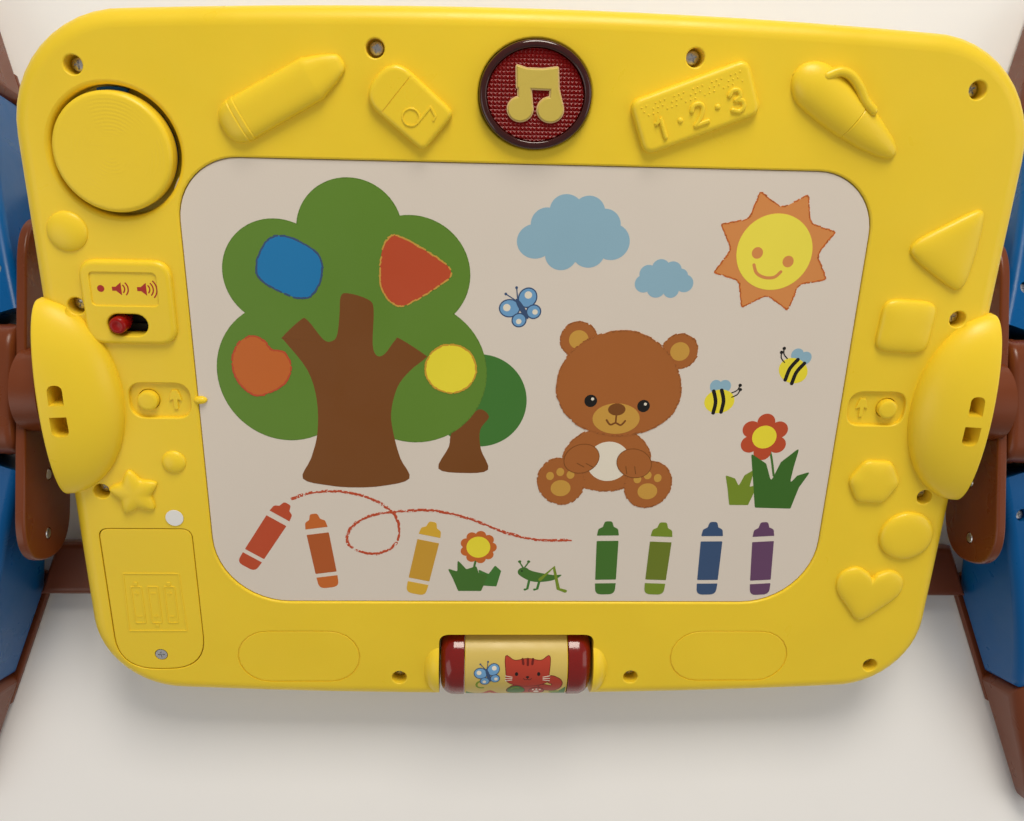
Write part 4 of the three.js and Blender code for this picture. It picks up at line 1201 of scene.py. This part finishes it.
def small_tree():
    trunk = smooth([(-45, -39.5), (-32, -42), (-18.5, -40), (-22.5, -28), (-23, -17), (-18.5, -9.5),
                    (-24, -5.5), (-31, -13.5), (-38, -19), (-39.5, -27)], 4)
    return [(oval(-23.5, -1, 24.5, 25.5, 64), "bush"), (trunk, "trunk")]


def fruits():
    blue = smooth([(-133.5, 66), (-130.5, 76), (-124, 82.5), (-115, 81.5), (-103.5, 74.5),
                   (-101.5, 66), (-105.5, 55.5), (-112, 52), (-122, 55), (-130.5, 60)], 5)
    red = smooth([(-73.5, 64), (-72, 77), (-68, 83.5), (-62, 83), (-43, 72), (-38.5, 66),
                  (-43, 60.5), (-60, 50), (-67, 50), (-72, 56)], 5)
    orange = smooth([(-149, 17.5), (-145.5, 28), (-138, 32.5), (-132, 29.5), (-129, 25.5),
                     (-122.5, 24), (-119.5, 16.5), (-123, 8), (-131, 2.5), (-139, 1), (-146, 7)], 5)
    yellow = oval(-38.5, 16.5, 13, 13, 48)
    return (outlined(blue, "blue", "navy") + outlined(red, "red", "ear", 0.4)
            + outlined(orange, "orange", "red") + outlined(yellow, "fruit_yellow", "amber"))


def clouds():
    large = [(2.5, 82.5, 9, 8.5), (8, 91, 8, 8), (17, 98, 8, 7.5), (28, 97, 8, 8), (36, 91, 8, 8),
             (40, 83, 9, 9), (15.5, 76.5, 8, 8), (29, 77.5, 8, 7.5), (21.5, 86, 14, 13.5)]
    small = [(57.5, 62.5, 4.5, 4.5), (59.5, 67.5, 4.5, 4.5), (65.5, 70.5, 4.5, 4.5),
             (71.5, 69.5, 4.5, 4.5), (75.5, 66.5, 4, 4), (78, 63, 4.5, 4.5), (64, 59.5, 4.5, 4),
             (71.5, 59.5, 4, 4), (67.5, 64.5, 8, 6.5)]
    return [(oval(*lobe[:4], 40), "cloud") for lobe in large + small]


def sun():
    centre = (121.5, 79.5)
    rays = rounded(star(8, 31, 21.5, 20, *centre), [0.8, 5] * 8, 4)
    smile = smooth([(112, 73), (113.8, 69), (118, 66.8), (123, 67), (126, 69.8)], 5, False)
    return outlined(rays, "sun", "rough_orange", 0.35) + [
        (oval(*centre, 19, 19, 64), "sun_face"), (oval(113, 79, 2.8, 2.9), "sun"),
        (oval(129, 75, 2.8, 2.9), "sun"), (ribbon(smile, 0.8), "sun")]


def bear():
    layers = []
    for x, y in ((26.5, 33), (79, 27.5)):
        layers += outlined(oval(x, y, 9.3, 9.3, 40), "bear", "rough_bear", 0.4)
        layers.append((oval(x, y, 5, 5), "ear"))
    layers += outlined(oval(45, -33.5, 23.5, 18.5, 56), "bear", "rough_bear", 0.4)
    layers.append((oval(46, -34.5, 11.5, 11.5, 48), "cream"))
    for x, y, turn in ((21, -46.5, 20), (68.5, -48, -20)):
        layers += outlined(oval(x, y, 12.5, 13.8, 40, turn=turn), "bear", "rough_bear", 0.4)
        layers.append((oval(x, y - 4, 5.4, 4.8), "ear"))
        for dx, dy in ((-6, 3.2), (-0.6, 5.6), (5, 4)):
            layers.append((oval(x + dx, y + dy, 2.1, 2.4), "ear"))
    head = smooth([(17, 2), (19, 20), (31, 33), (50, 38), (67, 32), (79, 17), (80.5, -1), (70, -14),
                   (49, -19.5), (28, -13)], 8)
    layers += outlined(head, "bear", "rough_bear", 0.45)
    for x, y, turn in ((31.5, -33, 25), (60, -35.5, -25)):
        paw = oval(x, y, 9.5, 8, 36, turn=turn)
        layers += [(inset(paw, -0.35), "trunk"), (paw, "bear")]
        for k in (-1, 1):
            layers.append((turned(ribbon([(-1, -2.5), (1.5, -6)], 0.25), turn, x + 2.4 * k, y), "trunk"))
    layers += [(oval(48.5, -9.8, 12.5, 8.6, 40), "ear"), (oval(48.5, -4.6, 4.6, 3.4), "trunk"),
               (oval(34.5, 0, 3.3, 3.4), "dark"), (oval(62.5, -2.5, 3.3, 3.4), "dark"),
               (oval(35.4, 1.1, 0.8, 0.8), "cream"), (oval(63.4, -1.4, 0.8, 0.8), "cream")]
    mouth = smooth([(43.5, -10.6), (45.6, -13.2), (48.4, -12.2), (51.2, -13.4), (53.4, -11)], 4, False)
    return layers + [(ribbon(mouth, 0.5), "trunk"), (ribbon([(48.5, -7.5), (48.4, -12)], 0.45), "trunk")]


def bee(x, y, turn, flip=1):
    def put(points):
        return turned([(a * flip, b) for a, b in points], turn, x, y)

    body = oval(0, 0, 8, 6.6, 36)
    layers = [(put(oval(-1.5, 8.6, 3.2, 3.6)), "cloud"), (put(oval(3.2, 8.2, 3.2, 3.4)), "cloud"),
              (put(body), "fruit_yellow")]
    for at, half in ((-2.6, 1.0), (1.6, 1.0)):
        bow = [(at - 0.9, -6.1), (at + 0.6, 0), (at - 0.2, 6.1)]
        layers.append((put(ribbon(smooth(bow, 5, False), half)), "dark"))
    for dy in (0, 2.4):
        feeler = smooth([(6.6, 1.5 + dy), (9.5, 2.6 + dy), (11, 4.8 + dy)], 4, False)
        layers += [(put(ribbon(feeler, 0.3)), "dark"), (put(oval(11.2, 5.2 + dy, 0.9)), "dark")]
    return layers


def flower_bed():
    layers = [(ribbon(smooth([(131, -24), (134, -30), (137, -42)], 4, False), 0.6), "green")]
    for i in range(6):
        a = math.radians(30 + 60 * i)
        layers.append((oval(129 + 8.6 * math.cos(a), -19.5 + 8.6 * math.sin(a), 4.8, 4.8), "red"))
    layers.append((oval(129, -19.5, 6.6, 6.6, 36), "fruit_yellow"))
    tall = rounded([(129, -61.5), (126, -45), (123, -29), (132, -35), (136, -45.5), (140, -34),
                    (149, -25.5), (147.5, -36), (146.5, -47), (150, -42), (157, -39.5), (152, -49),
                    (149, -62)], 0.8, 3)
    low = rounded([(114.5, -60), (112.5, -50), (110.5, -42), (116, -44), (118.5, -48.5), (121, -42),
                   (126, -38.5), (124.5, -49), (129, -47.5), (125, -60)], 0.6, 3)
    return layers + [(low, "lime"), (tall, "grass")]


def crayon(top, bottom, cap, body):
    """A crayon seen from the side: tip, shoulder, white band, label, white band, rounded end."""
    axis = Vector(bottom) - Vector(top)
    length = axis.length
    turn = math.degrees(math.atan2(axis.y, axis.x))

    def put(points):
        return turned(points, turn, *top)

    w = 6.1
    tip = rounded([(0, -2.0), (0, 2.0), (3.4, 3.0), (4.8, w - 0.6), (8.8, w), (8.8, -w),
                   (4.8, -w + 0.6), (3.4, -3.0)], [1.6, 1.6, 0.8, 1.8, 0.3, 0.3, 1.8, 0.8], 4)
    label = rounded([(12.2, -w), (12.2, w), (length - 9.6, w - 0.2), (length - 9.6, -w + 0.2)], 0.4, 2)
    end = rounded([(length - 7.2, -w + 0.2), (length - 7.2, w - 0.2), (length, w - 0.6),
                   (length, -w + 0.6)], [0.3, 0.3, 4.4, 4.4], 5)
    return [(put(tip), cap), (put(label), body), (put(end), cap)]


def crayons():
    row = [((-126, -61), (-151, -100), "red", "red"),
           ((-112.5, -67), (-106, -113), "orange", "red_orange"),
           ((-48, -71.5), (-58, -117), "fruit_amber", "amber"),
           ((48.5, -70.5), (49.3, -117), "green", "green"),
           ((79, -71), (77.3, -117), "lime", "lime_dark"),
           ((107, -70.5), (107.5, -117), "navy", "navy"),
           ((135.5, -70.5), (138.5, -117), "purple", "purple")]
    layers = []
    for top, bottom, cap, body in row:
        layers += crayon(top, bottom, cap, body)
    return layers


def meadow():
    layers = [(ribbon([(-24, -94), (-26, -103)], 0.6), "green")]
    for i in range(9):
        a = 2 * math.pi * i / 9
        layers.append((oval(-23 + 7.2 * math.cos(a), -87 + 7.2 * math.sin(a), 3.0, 3.0), "orange"))
    layers.append((oval(-23, -87, 6.6, 6.6, 32), "fruit_yellow"))
    layers.append((rounded([(-20, -111.5), (-23, -101), (-17, -104), (-13.5, -98.5), (-10, -102),
                            (-12.5, -112)], 0.6, 3), "bush"))
    layers.append((rounded([(-34, -115), (-37, -107), (-40, -100.5), (-34.5, -102.5), (-34.5, -95),
                            (-29.5, -101), (-24, -99), (-22.5, -103.5), (-17.5, -104.5), (-21, -115)],
                           0.7, 3), "green"))
    return layers


def hopper():
    layers = [(ribbon([(6, -107.5), (5, -113.5), (3.6, -114)], 0.7), "bush"),
              (ribbon([(12, -107), (10.6, -113.6), (9, -114)], 0.7), "bush")]
    layers.append((smooth([(0, -103), (3, -100.4), (9, -102.5), (19, -104.5), (24, -104.5), (19, -108),
                           (9, -109), (2, -106)], 4), "green"))
    layers += [(oval(2.6, -102.6, 3.3, 2.9), "green"), (oval(1.6, -102, 0.5, 0.5), "dark")]
    for x in (0.2, 5.2):
        layers += [(ribbon([(2.6, -100.5), (x, -96.4)], 0.4), "green"), (oval(x, -96, 0.9, 0.8), "green")]
    leg = [(12, -107.5), (19.5, -99.5), (22.6, -113.5), (26.6, -115)]
    return layers + [(ribbon(leg, 1.0), "lime")]


def scribble():
    path = smooth([(-123.5, -58), (-113, -54.5), (-98, -53.5), (-83, -57), (-71, -64.5), (-66.5, -75),
                   (-69.5, -86.5), (-81.5, -91.5), (-94, -86), (-93, -76), (-83, -68.5), (-69, -65.5),
                   (-49, -64.5), (-29, -69), (-9, -77.5), (8.5, -82), (28, -82.5)], 5, False)
    return strokes(path, 0.8, "wax_red", closed=False, gap=0.1) + strokes(
        path, 0.45, "red", closed=False, gap=0.3)


def pictures():
    drawings = [("small_tree", small_tree()), ("tree", tree()), ("fruits", fruits()),
                ("clouds", clouds()), ("sun", sun()), ("bear", bear()),
                ("bees", bee(102.5, 0.5, 8) + bee(139.5, 18, -28, -1)), ("flower_bed", flower_bed()),
                ("crayons", crayons()), ("meadow", meadow()), ("grasshopper", hopper()),
                ("scribble", scribble()), ("butterfly", butterfly_layers(-2.9, 48.6, 1.25, 32))]
    for i, (name, layers) in enumerate(drawings):
        over = {"tree": 0.03, "fruits": 0.10}.get(name, 0.0)
        printed(f"printed_{name}", layers, z=PANEL_Z + over)


# ---------- stand ----------
#
# A leg is drawn from the side: X along the leg from the hub, Y up, Z outwards across it.

HUB_X = 262
HUB_Z = 95
LEG_ROOT_Y = 34
ANKLE = 150
SHOE_END = 246
SOLE_START = 84
COVER_WIDTH = 26
LEG_WIDTH = 52
SHOE_ACROSS = (-2, 54)
TOE_OUT = 18
COVER_SCREWS = (34, 112)
COVER_SCREW_ACROSS = 9
PLATE_SCREWS = (-78, -46, 46, 78)
PLATE_SCREW_Z = 77
BAR_Y = (92, 124)
SIDE_TO_LEG = Matrix(((1, 0, 0, 0), (0, 0, 1, 0), (0, 1, 0, 0), (0, 0, 0, 1)))
X_TO_Y = Matrix(((0, 0, 1, 0), (1, 0, 0, 0), (0, 1, 0, 0), (0, 0, 0, 1)))


def bezier(p0, p1, p2, p3, steps=18):
    points = []
    for i in range(1, steps + 1):
        t = i / steps
        k = ((1 - t) ** 3, 3 * t * (1 - t) ** 2, 3 * t * t * (1 - t), t ** 3)
        points.append(tuple(sum(w * p[j] for w, p in zip(k, (p0, p1, p2, p3))) for j in (0, 1)))
    return points


def crest(drop=0.0):
    """The leg's upper edge: (distance along the leg, height), from the hub to the ankle."""
    bends = [(0, HUB_Z), (60, 84), (118, 62), (ANKLE, 40)]
    lowered = [(x, y - drop) for x, y in bends]
    return [lowered[0]] + bezier(*lowered)


def leg_side(drop=0.0):
    """A leg's side view: the crest, the ankle's flat underside and the arch."""
    low, arch_start = 5.3, 92
    arch = bezier((arch_start, low), (74, low + 8), (40, 46), (0, 48))
    return crest(drop) + [(ANKLE, low), (arch_start, low)] + arch


def crest_height(along):
    line = crest()
    for (x0, y0), (x1, y1) in zip(line, line[1:]):
        if x0 <= along <= x1:
            return y0 + (y1 - y0) * (along - x0) / (x1 - x0)


def leg_place(side, end):
    """From leg coordinates (along, outwards, up) to the frame."""
    mirror = Matrix.Diagonal((side, -end, 1, 1))
    turn = Matrix.Rotation(math.radians(TOE_OUT - 90), 4, "Z")
    return WORLD @ mirror @ Matrix.Translation((HUB_X, -LEG_ROOT_Y, 0)) @ turn


def leg_slab(outline, w0, w1, edge, steps=6):
    if area(outline) < 0:
        outline = outline[::-1]
    return placed(pillow(outline, w0, w1, top=edge, bottom=edge, steps=steps), SIDE_TO_LEG)


def cover():
    """The blue half of a leg, with two wells for its screws."""
    steps = cut(block(-50, 10, -10, 60, 0, 120))
    for along in COVER_SCREWS:
        top = crest_height(along)
        steps += cut(rod(along, COVER_SCREW_ACROSS, top - 6, top + 9, 3.6, 28))
    return carved(leg_slab(leg_side(), 0, COVER_WIDTH, 5), steps)


def cover_screws():
    parts = []
    for along in COVER_SCREWS:
        head = lathe([(0, 0), (3.0, 0), (3.0, 1.4), (2.4, 2.1), (0, 2.3)], 24)
        slotted = carved(head, cross(1.9, 0.4, 1.3, 5))
        parts.append(moved(slotted, along, COVER_SCREW_ACROSS, crest_height(along) - 5.9))
    return parts


def shoe():
    """The foot: a rounded toe beyond the ankle and a sole that runs back under the leg."""
    heel = ANKLE + 0.3
    top = [(heel, 41), (176, 34)] + bezier((176, 34), (210, 30), (242, 22), (SHOE_END, 5), 12)
    side_view = top + [(SHOE_END, 3), (SHOE_END - 3, 0), (heel, 0)]
    plan = pillow(rect(120, SHOE_END, *SHOE_ACROSS, 23, 10), -1, 120)
    sole = leg_slab(rect(SOLE_START, 170, 0, 5, [1.5, 0, 0, 1.5], 3), *SHOE_ACROSS, 1.4, 3)
    return carved(leg_slab(side_view, *SHOE_ACROSS, 7, 8),
                  [("INTERSECT", plan)] + join(sole) + cut(block(60, ANKLE + 0.25, -9, 60, 5, 60)))


def frame_leg():
    """The brown half of a leg, with the root that joins it to the hub."""
    upright = leg_slab(leg_side(3), COVER_WIDTH + CLEAR, LEG_WIDTH, 5)
    return carved(upright, join(leg_slab(rect(-12, 4, 48, 91, 3), 8, 49, 2, 3)))


def side_frame(side):
    """The hub block with its two legs."""
    outline = rect(-LEG_ROOT_Y, LEG_ROOT_Y, 46, 107, [5, 5, 15, 15], 8)
    hub = mirrored(placed(pillow(outline, HUB_X, 314, top=4, bottom=4), X_TO_Y), side)
    legs = [placed(frame_leg(), WORLD.inverted() @ leg_place(side, end)) for end in (-1, 1)]
    return carved(hub, join(*legs))


def hub_plate(side):
    """The long oval plate, with the pivot pin, its flange and the bore for the latch bolt."""
    plate = placed(pillow(rect(-92, 92, 50, 104, 26, 12), 256.7, 261.7, top=0.8, bottom=1.6), X_TO_Y)
    pin = lathe([(0, 222), (11, 222), (12, 223), (12, 259), (0, 259)], 64)
    flange = lathe([(0, 245), (21, 245), (22, 246), (22, 259), (0, 259)], 72)
    steps = join(moved(along_x(pin), z=HUB_Z), moved(along_x(flange), z=HUB_Z))
    steps.append(("INTERSECT", block(200, 300, -200, 200, 50, 120)))
    steps += cut(rod_x(200, 231, PIN_BORE, 32, z=HUB_Z),
                 *[rod_x(250, 258.2, 3.4, 24, y, PLATE_SCREW_Z) for y in PLATE_SCREWS])
    return mirrored(carved(plate, steps), side)


def plate_screws(side):
    parts = []
    for y in PLATE_SCREWS:
        head = along_x(lathe([(0, 0.2), (2.4, -0.1), (3.0, 0.6), (3.0, 1.4), (0, 1.4)], 24))
        parts.append(mirrored(moved(head, 256.75, y, PLATE_SCREW_Z), side))
    return parts


def cross_bar(end):
    """A flat bar with a long recess; its ends are slanted to meet the legs."""
    near, far = BAR_Y
    slant = math.radians(TOE_OUT)
    wide, narrow = [HUB_X + (y - LEG_ROOT_Y) * math.tan(slant) - 2.3 / math.cos(slant)
                    for y in (far, near)]
    plan = [(-wide, -far), (wide, -far), (narrow, -near), (-narrow, -near)]
    recess = pillow(rect(-210, 210, 8 - far, -8 - near, 5, 6), 18.8, 40)
    bar = carved(pillow(plan, 6, 20, top=4, bottom=3, steps=6), cut(recess))
    return moved(bar, turn=180) if end > 0 else bar


def stand():
    for side, hand in SIDES:
        add(f"side_frame_{hand}_moulded", side_frame(side), "stand", BROWN,
            place=WORLD, replaces=[f"side_frame_{hand}"])
        add(f"hub_plate_{hand}_moulded", hub_plate(side), "stand", BROWN,
            place=WORLD, replaces=[f"hub_plate_{hand}"])
        add(f"hub_plate_screws_{hand}", joined(*plate_screws(side)), "stand", STEEL,
            place=WORLD)
        for end, where in ((-1, "front"), (1, "rear")):
            place = leg_place(side, end)
            add(f"leg_cover_{where}_{hand}_moulded", cover(), "stand", BLUE,
                place=place, replaces=[f"leg_cover_{where}_{hand}"])
            add(f"leg_screws_{where}_{hand}", joined(*cover_screws()), "stand", STEEL,
                place=place)
            add(f"foot_shoe_{where}_{hand}_moulded", shoe(), "stand", BROWN,
                place=place, replaces=[f"foot_shoe_{where}_{hand}"])
    for end, where in ((-1, "front"), (1, "rear")):
        add(f"cross_bar_{where}_moulded", cross_bar(end), "stand", BROWN,
            place=WORLD, replaces=[f"cross_bar_{where}"])


for build in (front_casing, back_casing, panel, note_button, spinner, volume, releases, door,
              sticker, screws, roller, pictures, stand):
    build()


# ---------- stage ----------

def studio():
    floor_bm = placed(block(-9000, 9000, -9000, 9000, -20, 0), WORLD)
    mesh = bpy.data.meshes.new("floor")
    floor_bm.to_mesh(mesh)
    floor_bm.free()
    floor = bpy.data.objects.new("floor", mesh)
    bpy.context.scene.collection.objects.link(floor)
    mesh.materials.append(plastic("pale_floor", (0.88, 0.88, 0.88), 0.7, vary=0.01, scratches=0))

    world = bpy.data.worlds.new("studio")
    world.use_nodes = True
    background = world.node_tree.nodes["Background"]
    background.inputs["Color"].default_value = (1.0, 0.97, 0.93, 1)
    background.inputs["Strength"].default_value = 0.30
    bpy.context.scene.world = world
    lamps = [("key", (0.15, 1.15, 1.25), 0.7, 21, (1.0, 0.92, 0.80)),
             ("fill", (-1.3, -0.9, 1.2), 1.2, 5.5, (1.0, 0.96, 0.92)),
             ("side", (1.4, -0.2, 0.9), 1.0, 4, (1.0, 0.95, 0.90))]
    middle = Vector((0, 0, 0.1))
    for name, place, size, power, colour in lamps:
        data = bpy.data.lights.new(name, "AREA")
        data.size = size
        data.energy = power
        data.color = colour
        lamp = bpy.data.objects.new(name, data)
        lamp.location = place
        lamp.rotation_euler = (middle - Vector(place)).to_track_quat("-Z", "Y").to_euler()
        bpy.context.scene.collection.objects.link(lamp)


def camera():
    data = bpy.data.cameras.new("camera")
    data.sensor_width = 36
    data.lens = 31.64
    data.clip_start = 0.01
    view = bpy.data.objects.new("camera", data)
    view.location = (-0.0280, -0.0034, 0.5772)
    view.rotation_euler = [math.radians(a) for a in (-0.60, -2.61, 0.68)]
    bpy.context.scene.collection.objects.link(view)
    bpy.context.scene.camera = view


studio()
camera()
bpy.context.scene.view_settings.view_transform = "Standard"
